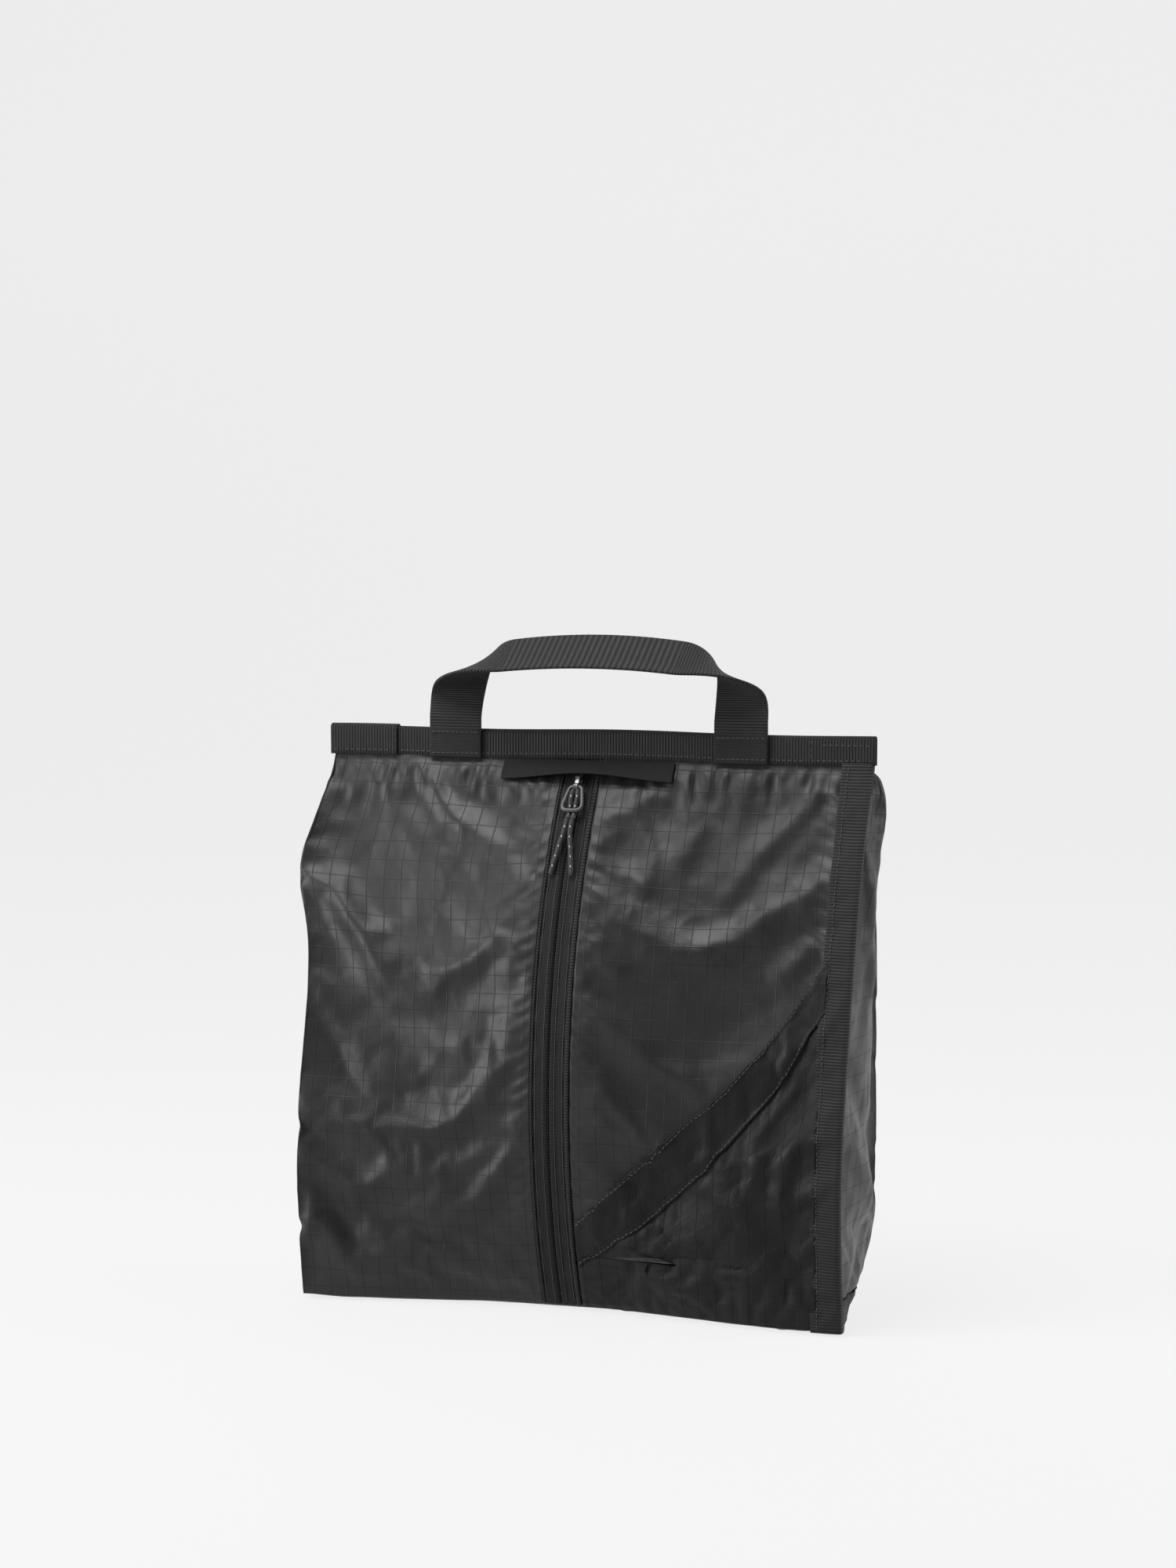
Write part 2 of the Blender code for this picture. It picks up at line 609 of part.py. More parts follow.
base_panel = add_body_panels()
add_eyelets(base_panel)
add_bindings()
add_pocket()
add_zip()
add_pull(add_slider())
add_pull_cord()
add_label()
add_handle()
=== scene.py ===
import json
import math
import bpy
import bmesh
import numpy as np
from mathutils import Matrix, Vector, noise


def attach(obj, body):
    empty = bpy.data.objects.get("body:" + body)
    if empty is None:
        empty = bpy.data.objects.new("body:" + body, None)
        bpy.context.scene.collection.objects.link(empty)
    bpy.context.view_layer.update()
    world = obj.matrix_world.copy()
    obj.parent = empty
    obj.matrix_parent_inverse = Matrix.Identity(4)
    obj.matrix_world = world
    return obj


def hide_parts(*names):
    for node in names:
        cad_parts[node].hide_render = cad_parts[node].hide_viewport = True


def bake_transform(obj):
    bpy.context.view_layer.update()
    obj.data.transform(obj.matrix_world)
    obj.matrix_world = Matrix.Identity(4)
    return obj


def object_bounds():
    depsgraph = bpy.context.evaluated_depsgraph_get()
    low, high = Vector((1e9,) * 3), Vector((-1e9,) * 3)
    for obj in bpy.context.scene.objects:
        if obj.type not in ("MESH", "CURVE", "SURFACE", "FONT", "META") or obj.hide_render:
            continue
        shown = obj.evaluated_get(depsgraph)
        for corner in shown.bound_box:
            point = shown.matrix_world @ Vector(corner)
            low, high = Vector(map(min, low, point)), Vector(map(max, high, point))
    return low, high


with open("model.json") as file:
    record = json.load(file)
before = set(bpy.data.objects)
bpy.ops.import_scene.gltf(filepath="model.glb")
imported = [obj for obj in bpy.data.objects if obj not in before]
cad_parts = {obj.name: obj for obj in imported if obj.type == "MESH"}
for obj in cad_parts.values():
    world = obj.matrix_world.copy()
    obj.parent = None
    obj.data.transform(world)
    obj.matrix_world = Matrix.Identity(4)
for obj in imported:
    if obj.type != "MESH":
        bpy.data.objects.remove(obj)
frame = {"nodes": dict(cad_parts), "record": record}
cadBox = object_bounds()
record = frame["record"]
nodes = frame["nodes"]
print("frame loaded:", len(nodes), "nodes")

# ---- camera, lights and floor

view = {"azimuth": 17.74, "elevation": 8.17, "distance": 1.993, "lens": 85.0, "target": (0.0, 0.0, 0.160),
        "shiftX": -0.0031, "shiftY": 0.142}

backdrop = {"colour": (0.07, 0.07, 0.071), "glow": 0.80, "width": 9.0, "front": -2.6, "back": 1.9, "top": 3.2,
            "bend": 0.8}

air = {"colour": (0.95, 0.97, 1.0), "strength": 0.07}

lamps = [
    # name, place, size, watts, aim
    ("topSoftbox", (-0.30, -0.50, 1.60), 0.9, 30.0, (0.0, 0.0, 0.15)),
    ("leftSoftbox", (-1.50, -1.00, 0.60), 0.8, 27.0, (0.0, 0.0, 0.15)),
    ("frontFill", (0.10, -2.40, 0.75), 0.9, 2.0, (0.0, 0.0, 0.15)),
    ("rightStrip", (1.45, 0.30, 0.65), 0.6, 14.0, (0.0, 0.0, 0.15)),
]


def deselectAll():
    if bpy.context.object and bpy.context.object.mode != "OBJECT":
        bpy.ops.object.mode_set(mode="OBJECT")
    bpy.ops.object.select_all(action="DESELECT")


def aimAt(thing, target):
    away = Vector(target) - thing.location
    thing.rotation_euler = away.to_track_quat("-Z", "Y").to_euler()


def setUpCamera():
    turn, lift = math.radians(view["azimuth"]), math.radians(view["elevation"])
    target = Vector(view["target"])
    back = Vector((math.sin(turn) * math.cos(lift), -math.cos(turn) * math.cos(lift), math.sin(lift)))
    bpy.ops.object.camera_add(location=target + back * view["distance"])
    camera = bpy.context.object
    aimAt(camera, target)
    camera.data.lens = view["lens"]
    camera.data.shift_x = view["shiftX"]
    camera.data.shift_y = view["shiftY"]
    bpy.context.scene.camera = camera


def setUpLights():
    for name, place, size, watts, aim in lamps:
        bpy.ops.object.light_add(type="AREA", location=place)
        lamp = bpy.context.object
        lamp.name = name
        lamp.data.size = size
        lamp.data.energy = watts
        aimAt(lamp, aim)
    world = bpy.data.worlds.new("studioAir")
    world.use_nodes = True
    surround = world.node_tree.nodes["Background"]
    surround.inputs["Color"].default_value = (*air["colour"], 1.0)
    surround.inputs["Strength"].default_value = air["strength"]
    # the camera sees a pale surround, while the lighting stays soft and low
    pale = world.node_tree.nodes.new("ShaderNodeBackground")
    pale.inputs["Color"].default_value = (0.80, 0.80, 0.805, 1.0)
    sight = world.node_tree.nodes.new("ShaderNodeLightPath")
    either = world.node_tree.nodes.new("ShaderNodeMixShader")
    links = world.node_tree.links
    links.new(sight.outputs["Is Camera Ray"], either.inputs[0])
    links.new(surround.outputs[0], either.inputs[1])
    links.new(pale.outputs[0], either.inputs[2])
    links.new(either.outputs[0], world.node_tree.nodes["World Output"].inputs["Surface"])
    bpy.context.scene.world = world
    bpy.context.scene.view_settings.view_transform = "Standard"


setUpCamera()
setUpLights()
print("camera and lights set")

# ---- material helpers


class Nodes:
    # short names for the shader nodes that every finish here is built from

    def __init__(self, name):
        self.material = bpy.data.materials.new(name)
        self.material.use_nodes = True
        self.tree = self.material.node_tree
        self.shader = self.tree.nodes["Principled BSDF"]

    def add(self, kind, **settings):
        node = self.tree.nodes.new(kind)
        for key, value in settings.items():
            setattr(node, key, value)
        return node

    def put(self, value, socket):
        if isinstance(value, bpy.types.NodeSocket):
            self.tree.links.new(value, socket)
        else:
            socket.default_value = value

    def maths(self, operation, first, second=0.0, third=0.0):
        node = self.add("ShaderNodeMath", operation=operation)
        for value, socket in zip((first, second, third), node.inputs):
            self.put(value, socket)
        return node.outputs[0]

    def uv(self):
        split = self.add("ShaderNodeSeparateXYZ")
        self.put(self.add("ShaderNodeUVMap", uv_map="weave").outputs[0], split.inputs[0])
        return split.outputs[0], split.outputs[1]

    def uvVector(self):
        return self.add("ShaderNodeUVMap", uv_map="weave").outputs[0]

    def objectVector(self):
        return self.add("ShaderNodeTexCoord").outputs["Object"]

    def noise(self, vector, scale, detail=3.0, roughness=0.5, distortion=0.0):
        node = self.add("ShaderNodeTexNoise")
        self.put(vector, node.inputs["Vector"])
        node.inputs["Scale"].default_value = scale
        node.inputs["Detail"].default_value = detail
        node.inputs["Roughness"].default_value = roughness
        node.inputs["Distortion"].default_value = distortion
        return node.outputs[0]

    def stretch(self, vector, scale):
        node = self.add("ShaderNodeMapping")
        self.put(vector, node.inputs["Vector"])
        node.inputs["Scale"].default_value = scale
        return node.outputs[0]

    def wave(self, distance, pitch):
        # 0 to 1 and back once in every pitch
        turn = self.maths("MULTIPLY", distance, 2 * math.pi / pitch)
        return self.maths("MULTIPLY_ADD", self.maths("SINE", turn), 0.5, 0.5)

    def line(self, distance, pitch, width):
        # 1 on a thin line in every pitch, 0 between
        off = self.maths("ABSOLUTE", self.maths("SUBTRACT", self.maths("FRACT", self.maths(
            "DIVIDE", distance, pitch)), 0.5))
        edge = self.add("ShaderNodeMapRange", interpolation_type="SMOOTHSTEP")
        self.put(off, edge.inputs["Value"])
        edge.inputs["From Min"].default_value = 0.5 * width / pitch
        edge.inputs["From Max"].default_value = 0.0
        return edge.outputs[0]

    def remap(self, value, low, high, fromLow=0.0, fromHigh=1.0):
        node = self.add("ShaderNodeMapRange")
        self.put(value, node.inputs["Value"])
        node.inputs["From Min"].default_value = fromLow
        node.inputs["From Max"].default_value = fromHigh
        node.inputs["To Min"].default_value = low
        node.inputs["To Max"].default_value = high
        return node.outputs[0]

    def mix(self, amount, dark, light):
        node = self.add("ShaderNodeMix", data_type="RGBA")
        self.put(amount, node.inputs["Factor"])
        for colour, socket in ((dark, node.inputs[6]), (light, node.inputs[7])):
            self.put(colour if isinstance(colour, bpy.types.NodeSocket) else (*colour, 1.0), socket)
        return node.outputs[2]

    def bump(self, height, distance, strength=1.0, under=None):
        node = self.add("ShaderNodeBump")
        self.put(height, node.inputs["Height"])
        node.inputs["Distance"].default_value = distance
        node.inputs["Strength"].default_value = strength
        if under is not None:
            self.put(under, node.inputs["Normal"])
        return node.outputs[0]

    def finish(self, colour, roughness, normal=None, **fixed):
        self.put(colour if isinstance(colour, bpy.types.NodeSocket) else (*colour, 1.0),
                 self.shader.inputs["Base Color"])
        self.put(roughness, self.shader.inputs["Roughness"])
        if normal is not None:
            self.put(normal, self.shader.inputs["Normal"])
        for name, value in fixed.items():
            self.shader.inputs[name.replace("_", " ")].default_value = value
        return self.material


# ---- the finishes

cloth = {"dark": (0.0105, 0.0105, 0.0115), "light": (0.0175, 0.0175, 0.0190), "gridPitch": 0.0094, "gridWidth": 0.00085,
         "thread": 0.00042, "roughLow": 0.34, "roughHigh": 0.46, "crumple": 0.0007}


def ripstopCloth(name="ripstopCloth", tint=1.0, gloss=0.30):
    n = Nodes(name)
    u, v = n.uv()
    plane = n.uvVector()
    upright = n.line(u, cloth["gridPitch"], cloth["gridWidth"])
    level = n.line(v, cloth["gridPitch"] * 1.04, cloth["gridWidth"])
    grid = n.maths("MAXIMUM", upright, n.maths("MULTIPLY", level, 0.75))
    # random patches and streaks lighten the base colour: painted sheen variation of the calendered cloth; the same
    # patches also vary its roughness
    patches = n.noise(plane, 14.0, 3.0, 0.55)
    streaks = n.noise(n.stretch(plane, (1.0, 0.12, 1.0)), 900.0, 2.0, 0.6)
    weave = n.maths("MULTIPLY", n.wave(u, cloth["thread"]), n.wave(v, cloth["thread"]))
    paintedSheenTone = n.remap(n.maths("ADD", n.maths("MULTIPLY", patches, 0.7), n.maths("MULTIPLY", streaks, 0.3)),
                   0.0, 1.0, 0.3, 0.7)
    # a tint below 1 makes a darker copy of the cloth; the pocket's copy uses it as painted shade
    dark = tuple(c * tint for c in cloth["dark"])
    light = tuple(c * tint for c in cloth["light"])
    colour = n.mix(paintedSheenTone, dark, light)
    colour = n.mix(n.maths("MULTIPLY", grid, 0.85), colour, tuple(0.3 * c for c in dark))
    rough = n.remap(patches, cloth["roughLow"], cloth["roughHigh"], 0.3, 0.7)
    rough = n.maths("MULTIPLY_ADD", grid, 0.22, rough)
    crumple = n.noise(plane, 55.0, 4.0, 0.55, 0.6)
    pleats = n.noise(n.stretch(plane, (1.0, 0.45, 1.0)), 170.0, 2.0, 0.5, 0.3)
    height = n.maths("ADD", n.maths("MULTIPLY", crumple, 0.8), n.maths("MULTIPLY", pleats, 0.2))
    soft = n.bump(height, cloth["crumple"], 0.55)
    fine = n.maths("ADD", n.maths("MULTIPLY", grid, 0.7), n.maths("MULTIPLY", weave, 0.3))
    normal = n.bump(fine, 0.00012, 0.8, soft)
    return n.finish(colour, rough, normal, Specular_IOR_Level=gloss, Sheen_Weight=0.03, Sheen_Roughness=0.4)


tape = {"dark": (0.0022, 0.0022, 0.0024), "light": (0.0140, 0.0140, 0.0148), "ribPitch": 0.00162}


def grosgrain(name, ribs="v", pitch=None, tint=1.0):
    # ribs run across a tape, so they repeat along it
    n = Nodes(name)
    u, v = n.uv()
    along, across = (v, u) if ribs == "v" else (u, v)
    rib = n.wave(along, pitch or tape["ribPitch"])
    yarn = n.wave(across, 0.00033)
    fuzz = n.noise(n.uvVector(), 2600.0, 2.0, 0.6)
    worn = n.noise(n.uvVector(), 32.0, 3.0, 0.5)
    amount = n.maths("MULTIPLY", rib, n.remap(fuzz, 0.75, 1.15))
    dark = tuple(c * tint for c in tape["dark"])
    light = tuple(c * tint for c in tape["light"])
    colour = n.mix(n.maths("MULTIPLY", amount, n.remap(worn, 0.75, 1.1, 0.3, 0.7)), dark, light)
    height = n.maths("ADD", n.maths("MULTIPLY", n.maths("POWER", rib, 0.6), 0.85), n.maths("MULTIPLY", yarn, 0.15))
    normal = n.bump(height, 0.00038, 0.9)
    return n.finish(colour, n.remap(rib, 0.80, 0.56), normal, Specular_IOR_Level=0.3, Sheen_Weight=0.03,
                    Sheen_Roughness=0.5)


def knitTape():
    # the zip's tape: columns of small knitted loops
    n = Nodes("knitTape")
    u, v = n.uv()
    wale = n.wave(u, 0.00082)
    slant = n.maths("ADD", v, n.maths("MULTIPLY", wale, 0.00045))
    loop = n.wave(slant, 0.00105)
    tooth = n.wave(n.maths("ADD", v, n.maths("MULTIPLY", u, 0.12)), 0.00150)
    toothBand = n.maths("MULTIPLY", n.maths("LESS_THAN", u, 0.0031), n.maths("GREATER_THAN", u, 0.0004))
    plain = n.maths("MULTIPLY", wale, n.remap(loop, 0.35, 1.0))
    both = n.maths("MULTIPLY", plain, n.maths("SUBTRACT", 1.0, n.maths("MULTIPLY", toothBand, n.maths(
        "SUBTRACT", 1.0, tooth))))
    colour = n.mix(both, (0.0025, 0.0025, 0.0028), (0.0200, 0.0200, 0.0210))
    normal = n.bump(n.maths("MULTIPLY_ADD", toothBand, n.maths("MULTIPLY", tooth, 0.8), plain), 0.00030, 0.9)
    return n.finish(colour, n.remap(both, 0.85, 0.62), normal, Specular_IOR_Level=0.25, Sheen_Weight=0.02,
                    Sheen_Roughness=0.5)


def coilNylon():
    n = Nodes("coilNylon")
    split = n.add("ShaderNodeSeparateXYZ")
    n.put(n.objectVector(), split.inputs[0])
    tooth = n.wave(split.outputs[2], 0.00135)
    colour = n.mix(tooth, (0.006, 0.006, 0.0065), (0.022, 0.022, 0.023))
    return n.finish(colour, 0.38, n.bump(tooth, 0.0005, 0.9))


def sliderMetal():
    n = Nodes("sliderMetal")
    grain = n.noise(n.objectVector(), 900.0, 3.0, 0.6)
    wear = n.noise(n.objectVector(), 210.0, 3.0, 0.6)
    colour = n.mix(n.remap(wear, 0.0, 1.0, 0.42, 0.62), (0.085, 0.086, 0.090), (0.17, 0.172, 0.178))
    return n.finish(colour, n.remap(grain, 0.30, 0.46), n.bump(grain, 0.00004, 0.5), Metallic=0.85)


def mouldedPull():
    n = Nodes("mouldedPull")
    pebble = n.noise(n.objectVector(), 1700.0, 2.0, 0.5)
    wear = n.noise(n.objectVector(), 240.0, 3.0, 0.5)
    colour = n.mix(wear, (0.026, 0.026, 0.028), (0.052, 0.052, 0.055))
    return n.finish(colour, n.remap(wear, 0.40, 0.56), n.bump(pebble, 0.00005, 0.6), Coat_Weight=0.08)


def eyeletSteel():
    n = Nodes("eyeletSteel")
    turned = n.noise(n.objectVector(), 1300.0, 2.0, 0.5)
    haze = n.noise(n.objectVector(), 160.0, 3.0, 0.5)
    colour = n.mix(haze, (0.62, 0.62, 0.64), (0.80, 0.80, 0.82))
    return n.finish(colour, n.remap(haze, 0.16, 0.34), n.bump(turned, 0.00003, 0.5), Metallic=1.0)


def stitchThread():
    n = Nodes("stitchThread")
    twist = n.noise(n.objectVector(), 3200.0, 1.0, 0.5)
    colour = n.mix(twist, (0.012, 0.012, 0.013), (0.048, 0.048, 0.052))
    return n.finish(colour, n.remap(twist, 0.45, 0.62), n.bump(twist, 0.00006, 0.8), Sheen_Weight=0.1)


def labelWeave():
    n = Nodes("labelWeave")
    u, v = n.uv()
    satin = n.maths("MULTIPLY", n.wave(n.maths("ADD", u, n.maths("MULTIPLY", v, 0.5)), 0.00036),
                    n.wave(v, 0.00022))
    fuzz = n.noise(n.uvVector(), 900.0, 2.0, 0.5)
    colour = n.mix(n.maths("MULTIPLY", satin, n.remap(fuzz, 0.7, 1.1)), (0.0035, 0.0035, 0.0038),
                   (0.0105, 0.0105, 0.0112))
    return n.finish(colour, n.remap(satin, 0.64, 0.48), n.bump(satin, 0.0001, 0.7), Sheen_Weight=0.02,
                    Sheen_Roughness=0.4, Specular_IOR_Level=0.2)


def fleckedCord():
    # black braid with pale reflective flecks on alternate strands
    n = Nodes("fleckedCord")
    u, v = n.uv()
    around = n.maths("MULTIPLY", u, 1.0)
    strandA = n.wave(n.maths("ADD", v, n.maths("MULTIPLY", around, 0.0021)), 0.00105)
    strandB = n.wave(n.maths("SUBTRACT", v, n.maths("MULTIPLY", around, 0.0021)), 0.00105)
    braid = n.maths("MAXIMUM", strandA, strandB)
    spot = n.line(n.maths("ADD", v, n.maths("MULTIPLY", around, 0.0044)), 0.0056, 0.0013)
    side = n.line(around, 0.25, 0.10)
    fleck = n.maths("MULTIPLY", n.maths("GREATER_THAN", spot, 0.25), n.maths("GREATER_THAN", side, 0.25))
    colour = n.mix(braid, (0.008, 0.008, 0.009), (0.026, 0.026, 0.028))
    colour = n.mix(fleck, colour, (0.46, 0.46, 0.47))
    return n.finish(colour, n.remap(fleck, 0.78, 0.42), n.bump(braid, 0.00028, 0.9), Sheen_Weight=0.15)


def paleFloor():
    n = Nodes("paleFloor")
    dust = n.noise(n.objectVector(), 3.0, 2.0, 0.5)
    colour = n.mix(dust, backdrop["colour"], tuple(c * 0.992 for c in backdrop["colour"]))
    return n.finish(colour, 0.95, Emission_Color=(1.0, 1.0, 1.0, 1.0), Emission_Strength=backdrop["glow"],
                    Specular_IOR_Level=0.1)


finishes = {
    # the pocket's finish is the same ripstop made darker (tint 0.62) and less glossy: painted shade over the pocket
    "ripstop": ripstopCloth(), "pocketClothPaintedShade": ripstopCloth("pocketClothPaintedShade", 0.62, 0.15),
    "tapeAlong": grosgrain("grosgrainTape"), "knit": knitTape(), "coil": coilNylon(),
    "metal": sliderMetal(), "moulded": mouldedPull(), "eyelet": eyeletSteel(), "thread": stitchThread(),
    "label": labelWeave(), "cord": fleckedCord(), "floor": paleFloor(),
}
print("finishes made:", len(finishes))


def addBackdrop():
    # a sweep: floor, one soft bend, wall
    deselectAll()
    low = cadBox[0][2] - 0.0002
    bpy.ops.mesh.primitive_plane_add(size=1.0, location=(0, 0, 0))
    sweep = bpy.context.object
    sweep.name = "studioSweep"
    half = backdrop["width"] / 2
    corners = [(-half, backdrop["front"]), (half, backdrop["front"]), (-half, backdrop["back"]),
               (half, backdrop["back"])]
    for vertex, (x, y) in zip(sweep.data.vertices, corners):
        vertex.co = (x, y, low)
    bpy.ops.object.mode_set(mode="EDIT")
    bpy.ops.mesh.select_all(action="DESELECT")
    bpy.ops.object.mode_set(mode="OBJECT")
    for edge in sweep.data.edges:
        edge.select = all(sweep.data.vertices[i].co.y > 0 for i in edge.vertices)
    bpy.ops.object.mode_set(mode="EDIT")
    bpy.ops.mesh.select_mode(type="EDGE")
    bpy.ops.mesh.spin(steps=16, angle=math.radians(-90), center=(0, backdrop["back"], low + backdrop["bend"]),
                      axis=(1, 0, 0))
    bpy.ops.mesh.extrude_region_move(TRANSFORM_OT_translate={"value": (0, 0, backdrop["top"])})
    bpy.ops.object.mode_set(mode="OBJECT")
    bpy.ops.object.shade_smooth()
    sweep.data.materials.append(finishes["floor"])


addBackdrop()
print("backdrop added")

# ---- shared shape helpers


def mixed(low, high, t):
    return low + (high - low) * t


def smooth(knots, at):
    # cubic curve through (position, value) knots
    last = len(knots) - 1
    slopes = []
    for index in range(last + 1):
        before, after = knots[max(index - 1, 0)], knots[min(index + 1, last)]
        slopes.append((after[1] - before[1]) / (after[0] - before[0]))
    at = min(max(at, knots[0][0]), knots[last][0])
    index = 0
    while index < last - 1 and at > knots[index + 1][0]:
        index += 1
    (start, low), (end, high) = knots[index], knots[index + 1]
    span = end - start
    t = (at - start) / span
    return ((2 * t**3 - 3 * t**2 + 1) * low + (t**3 - 2 * t**2 + t) * span * slopes[index]
            + (3 * t**2 - 2 * t**3) * high + (t**3 - t**2) * span * slopes[index + 1])


def gridPiece(name, columns, rows, place, finish, flat, uvStart=(0.0, 0.0), wrap=False, turned=False):
    # a grid laid where place(u, v) says; its "weave" map is in metres
    deselectAll()
    bpy.ops.mesh.primitive_grid_add(x_subdivisions=columns, y_subdivisions=rows, size=1.0, location=(0, 0, 0))
    piece = bpy.context.object
    piece.name = name
    piece.data.name = name
    piece.data.uv_layers[0].name = "weave"
    for spot in piece.data.uv_layers[0].data:
        across, along = uvStart[0] + spot.uv[0] * flat[0], uvStart[1] + spot.uv[1] * flat[1]
        spot.uv = (along, across) if turned else (across, along)
    for vertex in piece.data.vertices:
        u, v = vertex.co.x + 0.5, vertex.co.y + 0.5
        vertex.co = place(min(max(u, 0.0), 1.0), min(max(v, 0.0), 1.0))
    piece.data.materials.append(finishes[finish])
    if wrap:
        weld(piece)
    bpy.ops.object.shade_smooth()
    return piece


def weld(piece, distance=0.00001):
    pick(piece)
    bpy.ops.object.mode_set(mode="EDIT")
    bpy.ops.mesh.select_all(action="SELECT")
    bpy.ops.mesh.remove_doubles(threshold=distance)
    bpy.ops.object.mode_set(mode="OBJECT")


def pick(piece):
    deselectAll()
    piece.select_set(True)
    bpy.context.view_layer.objects.active = piece


def applyModifier(piece, kind, **settings):
    pick(piece)
    modifier = piece.modifiers.new(kind.title(), kind)
    for key, value in settings.items():
        setattr(modifier, key, value)
    bpy.ops.object.modifier_apply(modifier=modifier.name)


def thicken(piece, thickness, offset=-1.0):
    applyModifier(piece, "SOLIDIFY", thickness=thickness, offset=offset, use_even_offset=True)


def soften(piece, width, segments=2, angle=35):
    applyModifier(piece, "BEVEL", width=width, segments=segments, limit_method="ANGLE",
                  angle_limit=math.radians(angle))


def blockPiece(name, low, high, finish, rounding=0.0, segments=2):
    # a block between two corners with rounded edges
    deselectAll()
    bpy.ops.mesh.primitive_cube_add(size=1.0, location=(0, 0, 0))
    piece = bpy.context.object
    piece.name = name
    piece.data.name = name
    low, high = Vector(low), Vector(high)
    for vertex in piece.data.vertices:
        vertex.co = [mixed(low[i], high[i], vertex.co[i] + 0.5) for i in range(3)]
    piece.data.materials.append(finishes[finish])
    if rounding:
        soften(piece, rounding, segments, 30)
        bpy.ops.object.shade_smooth_by_angle(angle=math.radians(40))
    return piece


def join(name, pieces):
    deselectAll()
    for piece in pieces:
        piece.select_set(True)
    bpy.context.view_layer.objects.active = pieces[0]
    bpy.ops.object.join()
    pieces[0].name = name
    pieces[0].data.name = name
    return pieces[0]


def settle(piece, body, slotName, *stands):
    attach(piece, body)
    if stands:
        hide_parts(*stands)
    return piece


# ---- the bag's shape, the same curves that the CAD panels follow

shape = {
    "halfWidth": 0.150, "neck": 0.2912, "low": 0.0024, "top": 0.2985,
    "frontSide": [(0.0, -0.0485), (0.080, -0.0550), (0.165, -0.0385), (0.250, -0.0120), (0.2912, 0.0090)],
    "backSide": [(0.0, 0.0420), (0.110, 0.0460), (0.200, 0.0430), (0.255, 0.0340), (0.2800, 0.0240),
                 (0.2912, 0.0110)],
    "backInset": 0.004, "crown": 0.004, "bulge": 0.011, "bulgeZ": 0.236, "bulgeSpread": 0.034, "tuck": 0.017,
    "tuckHeight": 0.055, "puff": 0.006, "rightPuff": 0.0105, "wall": 0.0007,
}
zipArc = {"x": -0.008, "radius": 0.2867, "centreY": 0.2344, "centreZ": 0.1140, "halfGap": 0.0008, "tape": 0.0078,
          "pipingLeft": 0.0012, "pipingRight": 0.0023, "gap": 0.0003}
zipLeft = zipArc["x"] - zipArc["halfGap"] - zipArc["tape"] - zipArc["pipingLeft"] - 2 * zipArc["gap"]
zipRight = zipArc["x"] + zipArc["halfGap"] + zipArc["tape"] + zipArc["pipingRight"] + 2 * zipArc["gap"]


def zipAngle(z):
    return math.asin((z - zipArc["centreZ"]) / zipArc["radius"])


def onZip(angle, inward=0.0):
    radius = zipArc["radius"] - inward
    return zipArc["centreY"] - radius * math.cos(angle), zipArc["centreZ"] + radius * math.sin(angle)


def edgeX(side, z, depth):
    bulge = shape["bulge"] * math.exp(-(((z - shape["bulgeZ"]) / shape["bulgeSpread"]) ** 2)) if side < 0 else 0.0
    low = max(0.0, 1 - z / shape["tuckHeight"]) ** 2
    return side * (shape["halfWidth"] + bulge - shape["backInset"] * depth - shape["tuck"] * low * depth)


def frontY(x, z):
    z = min(z, shape["neck"])
    side = smooth(shape["frontSide"], z)
    reach = shape["halfWidth"] - math.copysign(zipArc["x"], x - zipArc["x"])
    flat = (zipArc["tape"] + zipArc["pipingRight"]) / reach
    t = min(max(0.0, (abs(x - zipArc["x"]) / reach - flat) / (1 - flat)), 1.0)
    return mixed(side, onZip(zipAngle(z))[0], 0.5 + 0.5 * math.cos(math.pi * t))


def backY(x, z):
    z = min(z, shape["neck"])
    crown = shape["crown"] * min(1.0, (shape["neck"] - z) / 0.05)
    return smooth(shape["backSide"], z) + crown * math.cos(math.pi * x / (2 * shape["halfWidth"]))


